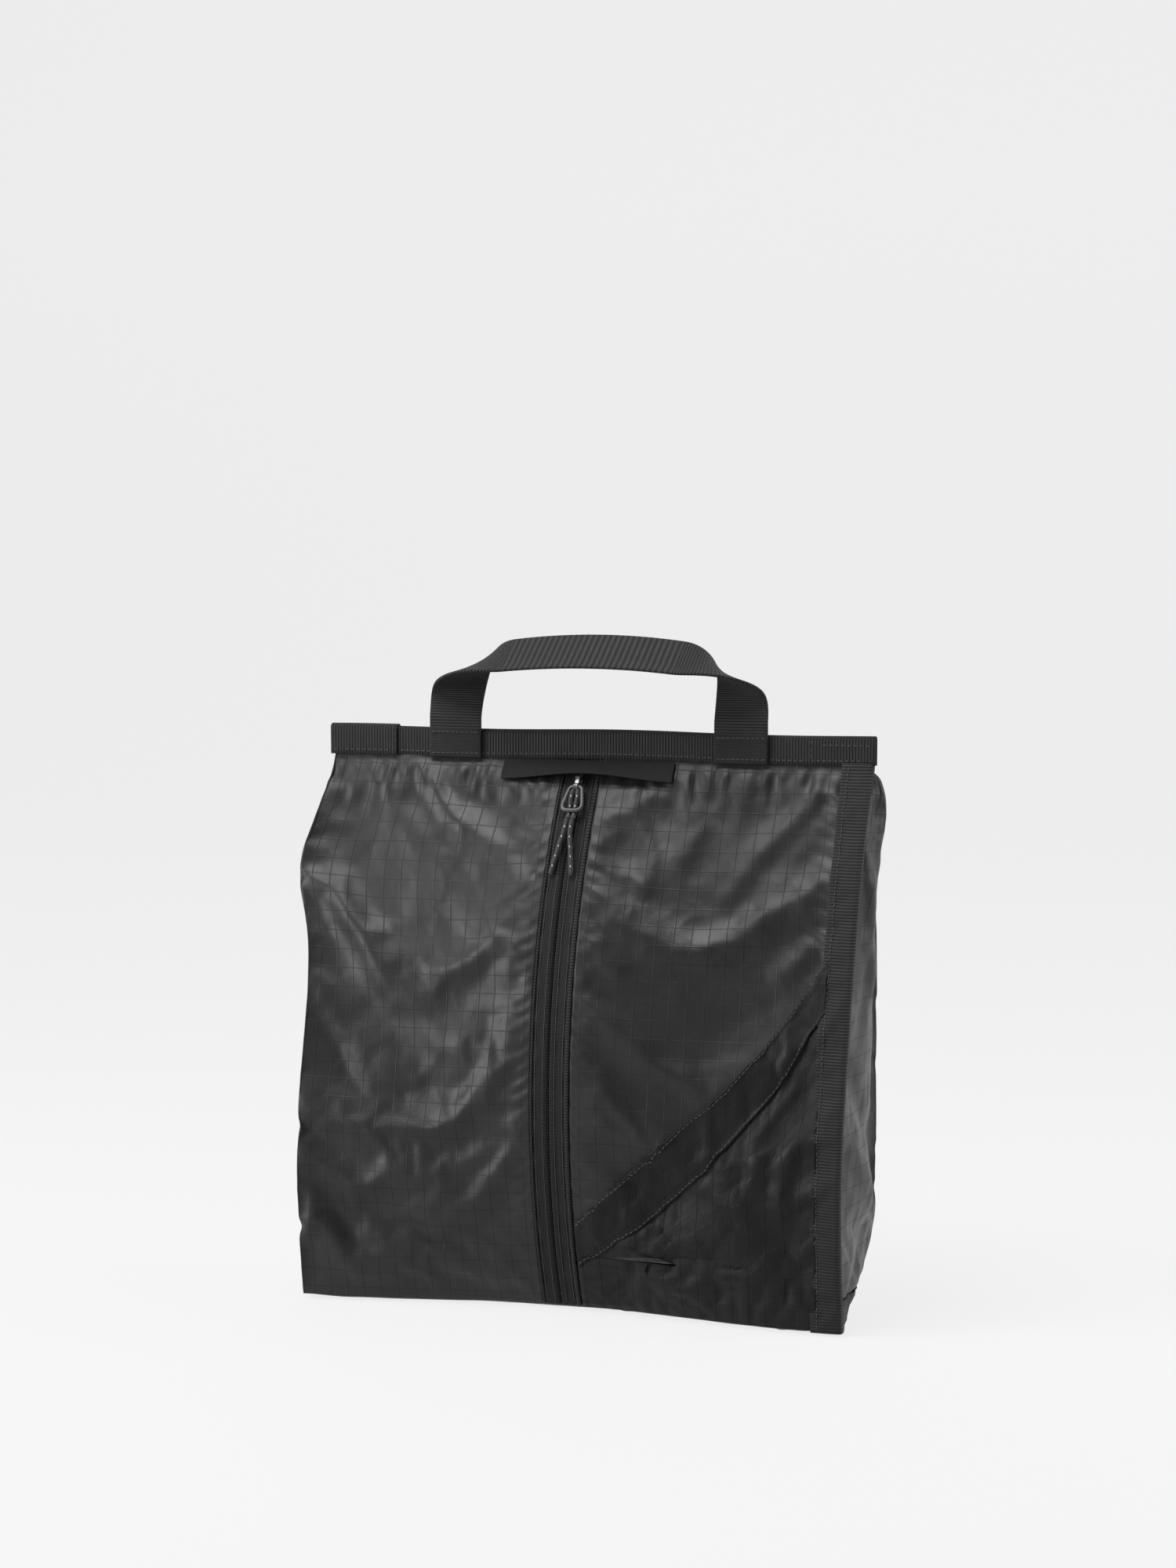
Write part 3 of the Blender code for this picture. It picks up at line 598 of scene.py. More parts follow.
# folds on the front: points as (x, z), then height out of the cloth and half width
folds = [
    ([(-0.167, 0.2295), (-0.143, 0.2229), (-0.1198, 0.1963), (-0.100, 0.170)], 0.0040, 0.0075),
    ([(-0.158, 0.2514), (-0.125, 0.2092), (-0.105, 0.190)], 0.0030, 0.0080),
    ([(-0.1503, 0.202), (-0.1439, 0.1526)], 0.0026, 0.0060),
    ([(-0.1564, 0.1769), (-0.1323, 0.1408), (-0.1168, 0.1126)], -0.0030, 0.0060),
    ([(-0.1089, 0.2929), (-0.0777, 0.264), (-0.055, 0.252)], 0.0026, 0.0060),
    ([(-0.1287, 0.2768), (-0.061, 0.2343), (-0.020, 0.185)], 0.0034, 0.0150),
    ([(-0.100, 0.268), (-0.055, 0.222), (-0.022, 0.200)], -0.0022, 0.0090),
    ([(-0.1304, 0.1945), (-0.0615, 0.1447), (-0.018, 0.0844)], 0.0032, 0.0160),
    ([(-0.110, 0.160), (-0.060, 0.118), (-0.030, 0.085)], -0.0022, 0.0110),
    ([(-0.1282, 0.112), (-0.0706, 0.0637), (-0.022, 0.0217)], 0.0030, 0.0150),
    ([(-0.1311, 0.1533), (-0.022, 0.1615)], -0.0008, 0.0050),
    ([(-0.1238, 0.1164), (-0.022, 0.1244)], -0.0009, 0.0050),
    ([(-0.1231, 0.0997), (-0.022, 0.1013)], 0.0008, 0.0050),
    ([(-0.1367, 0.0672), (-0.125, 0.045), (-0.1145, 0.024)], -0.0045, 0.0070),
    ([(-0.1367, 0.0672), (-0.1529, 0.0168)], 0.0030, 0.0050),
    ([(-0.052, 0.215), (-0.036, 0.190), (-0.030, 0.165)], 0.0020, 0.0050),
    ([(0.0196, 0.2765), (0.038, 0.2453), (0.036, 0.225)], 0.0026, 0.0055),
    ([(0.045, 0.285), (0.060, 0.262), (0.052, 0.238)], 0.0024, 0.0060),
    ([(0.0113, 0.2048), (0.0283, 0.1813)], 0.0024, 0.0055),
    ([(0.0113, 0.176), (0.026, 0.156)], 0.0020, 0.0050),
    ([(0.1271, 0.2356), (0.100, 0.212), (0.0726, 0.1984), (0.045, 0.196)], 0.0042, 0.0090),
    ([(0.1259, 0.279), (0.0925, 0.2466), (0.080, 0.225)], 0.0028, 0.0060),
    ([(0.132, 0.262), (0.105, 0.225)], -0.0022, 0.0050),
    ([(0.1287, 0.2594), (0.0921, 0.2108)], 0.0026, 0.0060),
    ([(0.100, 0.170), (0.070, 0.150), (0.040, 0.146)], -0.0028, 0.0160),
    ([(0.128, 0.205), (0.110, 0.180)], 0.0018, 0.0060),
]
sideFolds = [
    # on the right gusset, as (depth from the front, z)
    ([(0.05, 0.150), (0.45, 0.110), (0.95, 0.085)], -0.0030, 0.0070),
    ([(0.05, 0.105), (0.50, 0.080), (0.95, 0.030)], 0.0028, 0.0070),
    ([(0.10, 0.060), (0.60, 0.045), (0.95, 0.060)], -0.0024, 0.0060),
    ([(0.05, 0.270), (0.40, 0.215), (0.60, 0.170)], 0.0030, 0.0080),
    ([(0.90, 0.255), (0.55, 0.225), (0.30, 0.150)], -0.0026, 0.0080),
]


def foldHeight(x, z, rows, squeeze=1.0):
    # sum of soft ridges along the fold lines
    total = 0.0
    for points, height, width in rows:
        best, along = 1e9, 0.0
        for index in range(len(points) - 1):
            ax, az = points[index]
            bx, bz = points[index + 1]
            dx, dz = (bx - ax) * squeeze, bz - az
            px, pz = (x - ax) * squeeze, z - az
            t = min(1.0, max(0.0, (px * dx + pz * dz) / (dx * dx + dz * dz)))
            gap = math.hypot(px - t * dx, pz - t * dz)
            if gap < best:
                best, along = gap, (index + t) / (len(points) - 1)
        if best < 3.2 * width:
            fade = math.sin(math.pi * min(1.0, max(0.0, 0.06 + 0.88 * along))) ** 0.6
            total += height * fade * math.exp(-((best / width) ** 2))
    return total


def pucker(along, away, seed, pitch=0.009, reach=0.010):
    # small pleats that run out of a seam and die away
    wobble = noise.noise((along * 60.0, seed, 0.0)) * 1.3
    strength = 0.55 + 0.6 * noise.noise((along * 35.0, seed + 7.0, 0.0))
    return strength * math.sin(2 * math.pi * along / pitch + wobble * 2.0) * math.exp(-((away / reach) ** 2))


shell = {"frontLeft": 34, "side": 22, "back": 66, "frontRight": 32, "rows": 68, "slack": 0.020, "frames": 26,
         "pressure": 1.6, "cap": 0.0065}
panelColumns = [("frontLeft", shell["frontLeft"]), ("leftSide", shell["side"]), ("back", shell["back"]),
                ("rightSide", shell["side"]), ("frontRight", shell["frontRight"])]


def shellLevel(v):
    return mixed(shape["low"], shape["neck"], v)


def shellPlace(panel, t, z):
    # t runs from 0 to 1 round the bag: zip, left, back, right, zip
    if panel == "frontLeft":
        x = mixed(zipLeft, edgeX(-1, z, 0), t)
        return Vector((x, frontY(x, z), z))
    if panel == "frontRight":
        x = mixed(edgeX(1, z, 0), zipRight, t)
        return Vector((x, frontY(x, z), z))
    if panel == "back":
        x = mixed(edgeX(-1, z, 1), edgeX(1, z, 1), t)
        return Vector((x, backY(x, z), z))
    side = -1 if panel == "leftSide" else 1
    depth = t if side < 0 else 1 - t
    y = mixed(frontY(edgeX(side, z, 0), z), backY(edgeX(side, z, 1), z), depth)
    if side > 0:
        puff = shape["rightPuff"] * min(1.0, (shape["neck"] - z) / 0.014) ** 0.6 * min(1.0, z / 0.06)
    else:
        puff = shape["puff"] * math.sin(math.pi * z / shape["neck"])
    return Vector((edgeX(side, z, depth) + side * puff * math.sin(math.pi * depth), y, z))


def shellRelief(panel, t, z):
    # folds and puckers, before the cloth settles
    v = (z - shape["low"]) / (shape["neck"] - shape["low"])
    edge = min(1.0, 6 * t, 6 * (1 - t)) * min(1.0, 9 * (1 - v)) * min(1.0, 10 * v)
    crease = 0.0011 * noise.fractal((t * 3.1 + len(panel), z * 22.0, 3.0), 0.6, 2.0, 4)
    if panel in ("frontLeft", "frontRight"):
        x = shellPlace(panel, t, z).x
        out = foldHeight(x, z, folds) * min(1.0, 5 * min(t, 1 - t) + 0.15)
        return out + crease * edge
    if panel == "back":
        slope = foldHeight(-shellPlace(panel, t, z).x * 0.94 + 0.004, z * 0.96 + 0.004, folds) * 0.8
        return slope * edge + crease * edge
    depth = t if panel == "leftSide" else 1 - t
    return foldHeight(depth, z, sideFolds, 0.095) * edge + 1.4 * crease * edge


def makeShell():
    # one grid right round the bag, welded nowhere: its two ends are the zip's edges
    total = sum(count for name, count in panelColumns)
    starts, at = {}, 0
    for name, count in panelColumns:
        starts[name] = at
        at += count

    def panelOf(column):
        for name, count in panelColumns:
            if column <= starts[name] + count:
                return name, (column - starts[name]) / count
        return panelColumns[-1][0], 1.0

    points = {}
    for column in range(total + 1):
        name, t = panelOf(column)
        for row in range(shell["rows"] + 1):
            z = shellLevel(row / shell["rows"])
            points[column, row] = (name, t, z, shellPlace(name, t, z))

    def normalAt(column, row):
        across = points[min(column + 1, total), row][3] - points[max(column - 1, 0), row][3]
        up = points[column, min(row + 1, shell["rows"])][3] - points[column, max(row - 1, 0)][3]
        return -across.cross(up).normalized()

    def place(u, v):
        column, row = round(u * total), round(v * shell["rows"])
        name, t, z, spot = points[column, row]
        relief = shellRelief(name, t, z)
        if name in ("leftSide", "rightSide", "back"):
            corner = min(t, 1 - t)
            relief *= min(1.0, 8 * corner)
        return spot + normalAt(column, row) * relief

    piece = gridPiece("bagShell", total, shell["rows"], place, "ripstop", (0.80, 0.291))
    return piece, starts, total


def pinShell(piece, total):
    group = piece.vertex_groups.new(name="sewn")
    size = total + 1
    seams, at = [0], 0
    for name, count in panelColumns:
        at += count
        seams.append(at)
    for vertex in piece.data.vertices:
        column, row = vertex.index % size, vertex.index // size
        weight = 0.0
        if row >= shell["rows"] or row == 0 or column in (0, total) or column == seams[4]:
            weight = 1.0
        elif column in seams:
            weight = 0.35
        elif column in (1, total - 1) or row in (1, shell["rows"] - 1):
            weight = 0.5
        if weight:
            group.add([vertex.index], weight, "REPLACE")
    return group


def settleCloth(piece, frames, pressure, slack, cap, group):
    # the cloth is cut a little larger than its place, so it buckles into folds
    before = np.array([v.co for v in piece.data.vertices])
    pick(piece)
    modifier = piece.modifiers.new("Cloth", "CLOTH")
    made = modifier.settings
    made.quality = 6
    made.mass = 0.05
    made.tension_stiffness = 18
    made.compression_stiffness = 18
    made.shear_stiffness = 6
    made.bending_stiffness = 0.12
    made.tension_damping = 12
    made.compression_damping = 12
    made.shear_damping = 12
    made.air_damping = 3
    made.shrink_min = -slack
    made.use_pressure = True
    made.uniform_pressure_force = pressure
    made.vertex_group_mass = group.name
    made.pin_stiffness = 4
    made.effector_weights.gravity = 0.25
    modifier.collision_settings.use_collision = False
    modifier.point_cache.frame_start = 1
    modifier.point_cache.frame_end = frames
    scene = bpy.context.scene
    for frameNumber in range(1, frames + 1):
        scene.frame_set(frameNumber)
    bpy.ops.object.modifier_apply(modifier=modifier.name)
    scene.frame_set(1)
    after = np.array([v.co for v in piece.data.vertices])
    moved = after - before
    far = np.linalg.norm(moved, axis=1, keepdims=True)
    held = np.where(far > 1e-9, moved / np.maximum(far, 1e-9) * cap * np.tanh(far / cap), 0)
    piece.data.vertices.foreach_set("co", (before + held).astype(np.float32).ravel())
    piece.data.update()
    print("cloth settled: moved", round(float(far.mean()) * 1000, 2), "mm on average,",
          round(float(far.max()) * 1000, 2), "mm at most")


bagShell, shellStarts, shellTotal = makeShell()
settleCloth(bagShell, shell["frames"], shell["pressure"], shell["slack"], shell["cap"],
            pinShell(bagShell, shellTotal))
print("shell shaped:", len(bagShell.data.vertices), "points")
shellPoints = np.array([v.co for v in bagShell.data.vertices]).reshape(shell["rows"] + 1, shellTotal + 1, 3)


def clothAt(panel, t, z):
    # a point of the settled cloth, and its outward normal
    count = dict(panelColumns)[panel]
    column = shellStarts[panel] + min(max(t, 0.0), 1.0) * count
    row = (z - shape["low"]) / (shape["neck"] - shape["low"]) * shell["rows"]
    column = min(max(column, shellStarts[panel]), shellStarts[panel] + count)
    row = min(max(row, 0.0), shell["rows"])
    c, r = min(int(column), shellTotal - 1), min(int(row), shell["rows"] - 1)
    fc, fr = column - c, row - r
    a, b = shellPoints[r, c], shellPoints[r, c + 1]
    d, e = shellPoints[r + 1, c], shellPoints[r + 1, c + 1]
    spot = (a * (1 - fc) + b * fc) * (1 - fr) + (d * (1 - fc) + e * fc) * fr
    across = (b - a) * (1 - fr) + (e - d) * fr
    up = (d - a) * (1 - fc) + (e - b) * fc
    return Vector(spot), Vector(np.cross(up, across)).normalized()


def frontAt(x, z):
    z = min(max(z, shape["low"]), shape["neck"])
    if x < zipArc["x"]:
        left = edgeX(-1, z, 0)
        return clothAt("frontLeft", (x - zipLeft) / (left - zipLeft), z)
    right = edgeX(1, z, 0)
    return clothAt("frontRight", (x - right) / (zipRight - right), z)


def seamPuckers(panel, x, z):
    # small pleats along the zip, under the top binding and beside the edge binding, and the cloth's fine crumple
    topAway = max(0.0, shape["neck"] - z)
    out = 0.0010 * pucker(x, topAway - 0.004, 3.0 if "front" in panel else 5.0, 0.0100, 0.013) * min(1.0, 160 * topAway)
    if panel in ("frontLeft", "frontRight"):
        zipAway = abs(x - (zipLeft if panel == "frontLeft" else zipRight))
        slant = z + 0.45 * zipAway
        out += 0.00060 * pucker(slant, zipAway, 1.0 if x < 0 else 2.0, 0.0078, 0.0085) * min(1.0, 250 * zipAway)
        if panel == "frontRight":
            edgeAway = max(0.0, 0.1355 - x)
            out += 0.00055 * pucker(z - 0.4 * edgeAway, edgeAway, 4.0, 0.0085, 0.009)
    spot = (x * 1.0, z * 1.0, 0.4)
    ridged = 1.0 - abs(noise.fractal((x * 38 + z * 16, z * 30 - x * 10, 1.7), 0.7, 2.1, 3)) * 2.4
    gentle = noise.noise((x * 17, z * 17, 8.0))
    return out + 0.00024 * max(-0.5, ridged) * (0.55 + gentle)


def puckerPanel(piece, panel):
    mesh = piece.data
    normals = [vertex.normal.copy() for vertex in mesh.vertices]
    for vertex, up in zip(mesh.vertices, normals):
        x, y, z = vertex.co
        edge = min(1.0, max(0.0, (z - shape["low"]) / 0.012), max(0.0, (shape["neck"] - z) / 0.004))
        across = y if "Side" in panel else x
        vertex.co += up * seamPuckers(panel, across, z) * edge


def cutPanels():
    # the shell comes apart at its seams into the five panels
    pieces = {}
    size = shellTotal + 1
    stands = {"frontLeft": ("frontPanelLeft", "front_panel_left"), "leftSide": ("gussetLeft", "left_gusset"),
              "back": ("backPanel", "back_panel"), "rightSide": ("gussetRight", "right_gusset"),
              "frontRight": ("frontPanelRight", "front_panel_right")}
    for panel, count in panelColumns:
        name, node = stands[panel]
        first = shellStarts[panel]
        width = float(np.linalg.norm(np.diff(shellPoints[20, first:first + count + 1], axis=0), axis=1).sum())

        def place(u, v):
            column, row = first + round(u * count), round(v * (shell["rows"] + 1))
            spot = Vector(shellPoints[min(row, shell["rows"]), column])
            if row > shell["rows"]:
                spot.z = 0.2965  # tucked into the top binding
            return spot

        piece = gridPiece(name, count, shell["rows"] + 1, place, "ripstop", (width, 0.296), (first * 0.01, 0.0))
        pick(piece)
        bpy.ops.object.mode_set(mode="EDIT")
        bpy.ops.mesh.select_all(action="SELECT")
        bpy.ops.mesh.flip_normals()
        bpy.ops.object.mode_set(mode="OBJECT")
        fine = 2 if panel in ("frontLeft", "frontRight", "rightSide") else 1
        applyModifier(piece, "SUBSURF", levels=fine, render_levels=fine, boundary_smooth="PRESERVE_CORNERS")
        puckerPanel(piece, panel)
        thicken(piece, shape["wall"])
        settle(piece, "bag", "ripstop", node)
        pieces[panel] = piece
    bpy.data.objects.remove(bagShell)
    return pieces


panels = cutPanels()
print("panels cut and sewn")


def addBase():
    def place(u, v):
        depth = 1 - v
        z = shape["low"]
        x = mixed(edgeX(-1, z, depth), edgeX(1, z, depth), u)
        front, back = frontY(x, z) + 0.0004, backY(x, z) - 0.0004
        rim = min(1.0, 14 * min(u, 1 - u, 3 * v, 3 * (1 - v)))
        sag = 0.0002 * noise.fractal((x * 30, v * 3, 9.0), 0.6, 2.0, 3)
        return Vector((x, mixed(front, back, depth), mixed(z, 0.0007 + sag, rim**0.5)))

    piece = gridPiece("basePanel", 90, 30, place, "ripstop", (0.290, 0.090))
    pick(piece)
    bpy.ops.object.mode_set(mode="EDIT")
    bpy.ops.mesh.select_all(action="SELECT")
    bpy.ops.mesh.flip_normals()
    bpy.ops.object.mode_set(mode="OBJECT")
    if piece.data.polygons[100].normal.z > 0:
        piece.data.flip_normals()
    thicken(piece, shape["wall"])
    return settle(piece, "bag", "ripstop", "base_panel")


addBase()

# ---- stitches

thread = {"length": 0.0023, "step": 0.0031, "radius": 0.00026, "bury": 0.00004}


def stitchShape():
    # one stitch: a small capsule along X, drawn once and copied along every seam
    deselectAll()
    bpy.ops.mesh.primitive_uv_sphere_add(segments=6, ring_count=4, radius=1.0, location=(0, 0, 0),
                                         rotation=(0, math.radians(90), 0))
    bpy.ops.object.transform_apply(location=False, rotation=True, scale=False)
    drop = bpy.context.object
    corners = np.array([v.co for v in drop.data.vertices])
    faces = [list(f.vertices) for f in drop.data.polygons]
    bpy.data.objects.remove(drop)
    corners[:, 0] *= thread["length"] / 2
    corners[:, 1:] *= thread["radius"]
    return corners, faces


stitchCorners, stitchFaces = stitchShape()


def stitchRow(name, body, slotName, lines, step=None, size=1.0):
    # lines hold (point, normal) pairs in order; stitches follow them end to end
    step = step or thread["step"]
    corners, faces = [], []
    for line in lines:
        spots = [Vector(spot) for spot, up in line]
        ups = [Vector(up) for spot, up in line]
        lengths = [0.0]
        for index in range(1, len(spots)):
            lengths.append(lengths[-1] + (spots[index] - spots[index - 1]).length)
        count = int(lengths[-1] / step)
        at = 0
        for index in range(count):
            middle = (index + 0.5) * lengths[-1] / count
            while at < len(lengths) - 2 and lengths[at + 1] < middle:
                at += 1
            t = (middle - lengths[at]) / max(lengths[at + 1] - lengths[at], 1e-9)
            centre = spots[at].lerp(spots[at + 1], t)
            up = ups[at].lerp(ups[at + 1], t).normalized()
            along = (spots[at + 1] - spots[at]).normalized()
            side = up.cross(along).normalized()
            up = along.cross(side)
            centre = centre + up * (thread["radius"] * 0.35 * size)
            frameAxes = np.array([along, side, up])
            start = len(corners) * len(stitchCorners)
            corners.append((stitchCorners * (size ** 0.5, size, size)) @ frameAxes + np.array(centre))
            faces += [[start + corner for corner in face] for face in stitchFaces]
    mesh = bpy.data.meshes.new(name)
    mesh.from_pydata(np.concatenate(corners).tolist(), [], faces)
    mesh.shade_smooth()
    mesh.materials.append(finishes["thread"])
    piece = bpy.data.objects.new(name, mesh)
    bpy.context.scene.collection.objects.link(piece)
    return settle(piece, body, slotName)


def frontLine(points, lift, count=60):
    # a seam drawn on the front cloth through (x, z) knots
    line = []
    for index in range(count + 1):
        along = index / count * (len(points) - 1)
        at = min(int(along), len(points) - 2)
        x = mixed(points[at][0], points[at + 1][0], along - at)
        z = mixed(points[at][1], points[at + 1][1], along - at)
        spot, up = frontAt(x, z)
        line.append((spot + up * lift, up))
    return line


# ---- pocket

pocket = {
    "mouth": [(0.005, 0.051), (0.064, 0.107), (0.104, 0.146), (0.139, 0.196)],
    "seam": [(0.005, 0.026), (0.0545, 0.062), (0.106, 0.118), (0.139, 0.168)],
    "left": 0.0050, "right": 0.1385, "lift": 0.0010, "hemLift": 0.0021, "puff": 0.0034,
}
pocketFolds = [
    ([(0.128, 0.140), (0.108, 0.105), (0.100, 0.070)], 0.0026, 0.0060),
    ([(0.134, 0.115), (0.120, 0.085), (0.118, 0.060)], 0.0022, 0.0050),
    ([(0.120, 0.120), (0.095, 0.080)], -0.0016, 0.0050),
    ([(0.040, 0.045), (0.085, 0.050), (0.125, 0.028)], 0.0024, 0.0110),
    ([(0.020, 0.030), (0.060, 0.028), (0.110, 0.012)], -0.0018, 0.0080),
    ([(0.070, 0.078), (0.095, 0.066), (0.110, 0.045)], 0.0016, 0.0060),
]
hemFolds = [
    ([(0.030, 0.072), (0.036, 0.052)], 0.0009, 0.0035), ([(0.050, 0.090), (0.056, 0.066)], -0.0008, 0.0030),
    ([(0.078, 0.118), (0.080, 0.090)], 0.0009, 0.0035), ([(0.098, 0.138), (0.102, 0.112)], -0.0008, 0.0035),
    ([(0.118, 0.162), (0.122, 0.140)], 0.0010, 0.0035), ([(0.014, 0.055), (0.018, 0.038)], 0.0008, 0.0030),
]


def pocketPoint(x, z, lift):
    spot, up = frontAt(x, z)
    return spot + up * lift


def addPocket():
    # the pocket's face runs up behind its hem, and the hem is the folded band at the mouth
    def face(u, v):
        x = mixed(pocket["left"], pocket["right"], u)
        seam = smooth(pocket["seam"], x)
        z = mixed(shape["low"], seam + 0.003, v)
        edge = min(1.0, 9 * u, 9 * (1 - u)) * min(1.0, 7 * v) * min(1.0, 7 * (1 - v) + 0.1)
        out = foldHeight(x, z, pocketFolds) * edge + pocket["puff"] * math.sin(math.pi * u) * math.sin(math.pi * v)
        away = max(0.0, seam - z)
        out += 0.00065 * pucker(x * 1.4, away, 11.0, 0.0100, 0.009) * min(1.0, 300 * away + 0.1)
        out += 0.0006 * noise.fractal((x * 22, z * 22, 4.0), 0.6, 2.0, 3) * edge
        # never closer to the panel behind than its own puckers reach
        room = 0.0002 + 0.0009 * min(1.0, 12 * v, 6 * (1 - v))
        out = room + 0.5 * (out - room + math.hypot(out - room, 0.0004))
        return pocketPoint(x, z, pocket["lift"] + out)

    def hem(u, v):
        x = mixed(pocket["left"], pocket["right"], u)
        low, high = smooth(pocket["seam"], x), smooth(pocket["mouth"], x)
        z = mixed(low, high, v)
        swell = 0.0009 * math.sin(math.pi * v) + 0.0026 * v**3 * math.sin(math.pi * u) ** 0.7
        out = foldHeight(x, z, hemFolds) + 0.0004 * noise.fractal((x * 55, z * 55, 2.0), 0.6, 2.0, 3)
        ridge = 0.0006 * math.exp(-((v / 0.06) ** 2))
        return pocketPoint(x, z, pocket["hemLift"] + swell + ridge + out * min(1.0, 6 * v, 8 * (1 - v) + 0.2))

    # face and hem take the darker copy of the cloth: painted shade over the pocket
    facePiece = gridPiece("pocketFace", 76, 70, face, "pocketClothPaintedShade", (0.134, 0.160), (0.002, 0.004))
    if facePiece.data.polygons[900].normal.y > 0:
        facePiece.data.flip_normals()
    thicken(facePiece, shape["wall"])
    settle(facePiece, "bag", "ripstop", "pocket_panel")
    hemPiece = gridPiece("pocketHem", 96, 14, hem, "pocketClothPaintedShade", (0.190, 0.024), (0.0, 0.001))
    if hemPiece.data.polygons[300].normal.y > 0:
        hemPiece.data.flip_normals()
    thicken(hemPiece, 0.0010)
    soften(hemPiece, 0.0004, 2, 50)
    settle(hemPiece, "bag", "ripstop", "pocket_hem")

    def seamLine(knots, drop, lift):
        line = []
        for index in range(81):
            x = mixed(pocket["left"] + 0.001, pocket["right"] - 0.004, index / 80)
            z = smooth(knots, x) + drop
            spot, up = frontAt(x, z)
            line.append((spot + up * lift, up))
        return line

    stitchRow("pocketStitches", "bag", "ripstop",
              [seamLine(pocket["mouth"], -0.0022, pocket["hemLift"] + 0.0024),
               seamLine(pocket["seam"], 0.0016, pocket["hemLift"] + 0.0009)], 0.0029)


addPocket()
print("pocket sewn on")

# ---- grosgrain bindings

binding = {"top": 0.308, "bottom": 0.2925, "y": 0.0100, "half": 0.1525, "thick": 0.0044, "tape": 0.0008,
           "overlapRight": -0.114, "edgeWidth": 0.0150, "edgeLift": 0.0019}


def bindingWave(x):
    return 0.00035 * math.sin(x * 42 + 0.6) + 0.00055 * math.exp(-((x / 0.05) ** 2)) - 0.0001


def tapeFold(name, left, right, half, top, columns):
    # a tape folded over the top edge: up the front, round, and down the back
    profile = []
    bend = min(half, 0.0022)
    for index in range(5):
        profile.append((-half, mixed(binding["bottom"], top - bend, index / 4)))
    for index in range(1, 8):
        turn = math.pi * index / 8
        profile.append((-half * math.cos(turn), top - bend + bend * math.sin(turn)))
    for index in range(5):
        profile.append((half, mixed(top - bend, binding["bottom"], index / 4)))
    last = len(profile) - 1

    def place(u, v):
        x = mixed(left, right, u)
        y, z = profile[round(v * last)]
        lowEdge = max(0.0, 1 - (z - binding["bottom"]) / 0.006)
        flare = 0.00025 * lowEdge * math.sin(x * 310 + (0 if y < 0 else 2)) + 0.00015 * math.sin(x * 95)
        return Vector((x, binding["y"] + y + math.copysign(flare, y), z + bindingWave(x) * min(1.0, 3 * (1 - lowEdge) + 0.4)))

    piece = gridPiece(name, columns, last, place, "tapeAlong", (right - left, 0.0355), (left, 0.0), turned=True)
    if piece.data.polygons[columns // 2].normal.y > 0:
        piece.data.flip_normals()
    thicken(piece, binding["tape"])
    soften(piece, 0.0002, 1, 60)
    bpy.ops.object.shade_smooth_by_angle(angle=math.radians(50))
    return piece


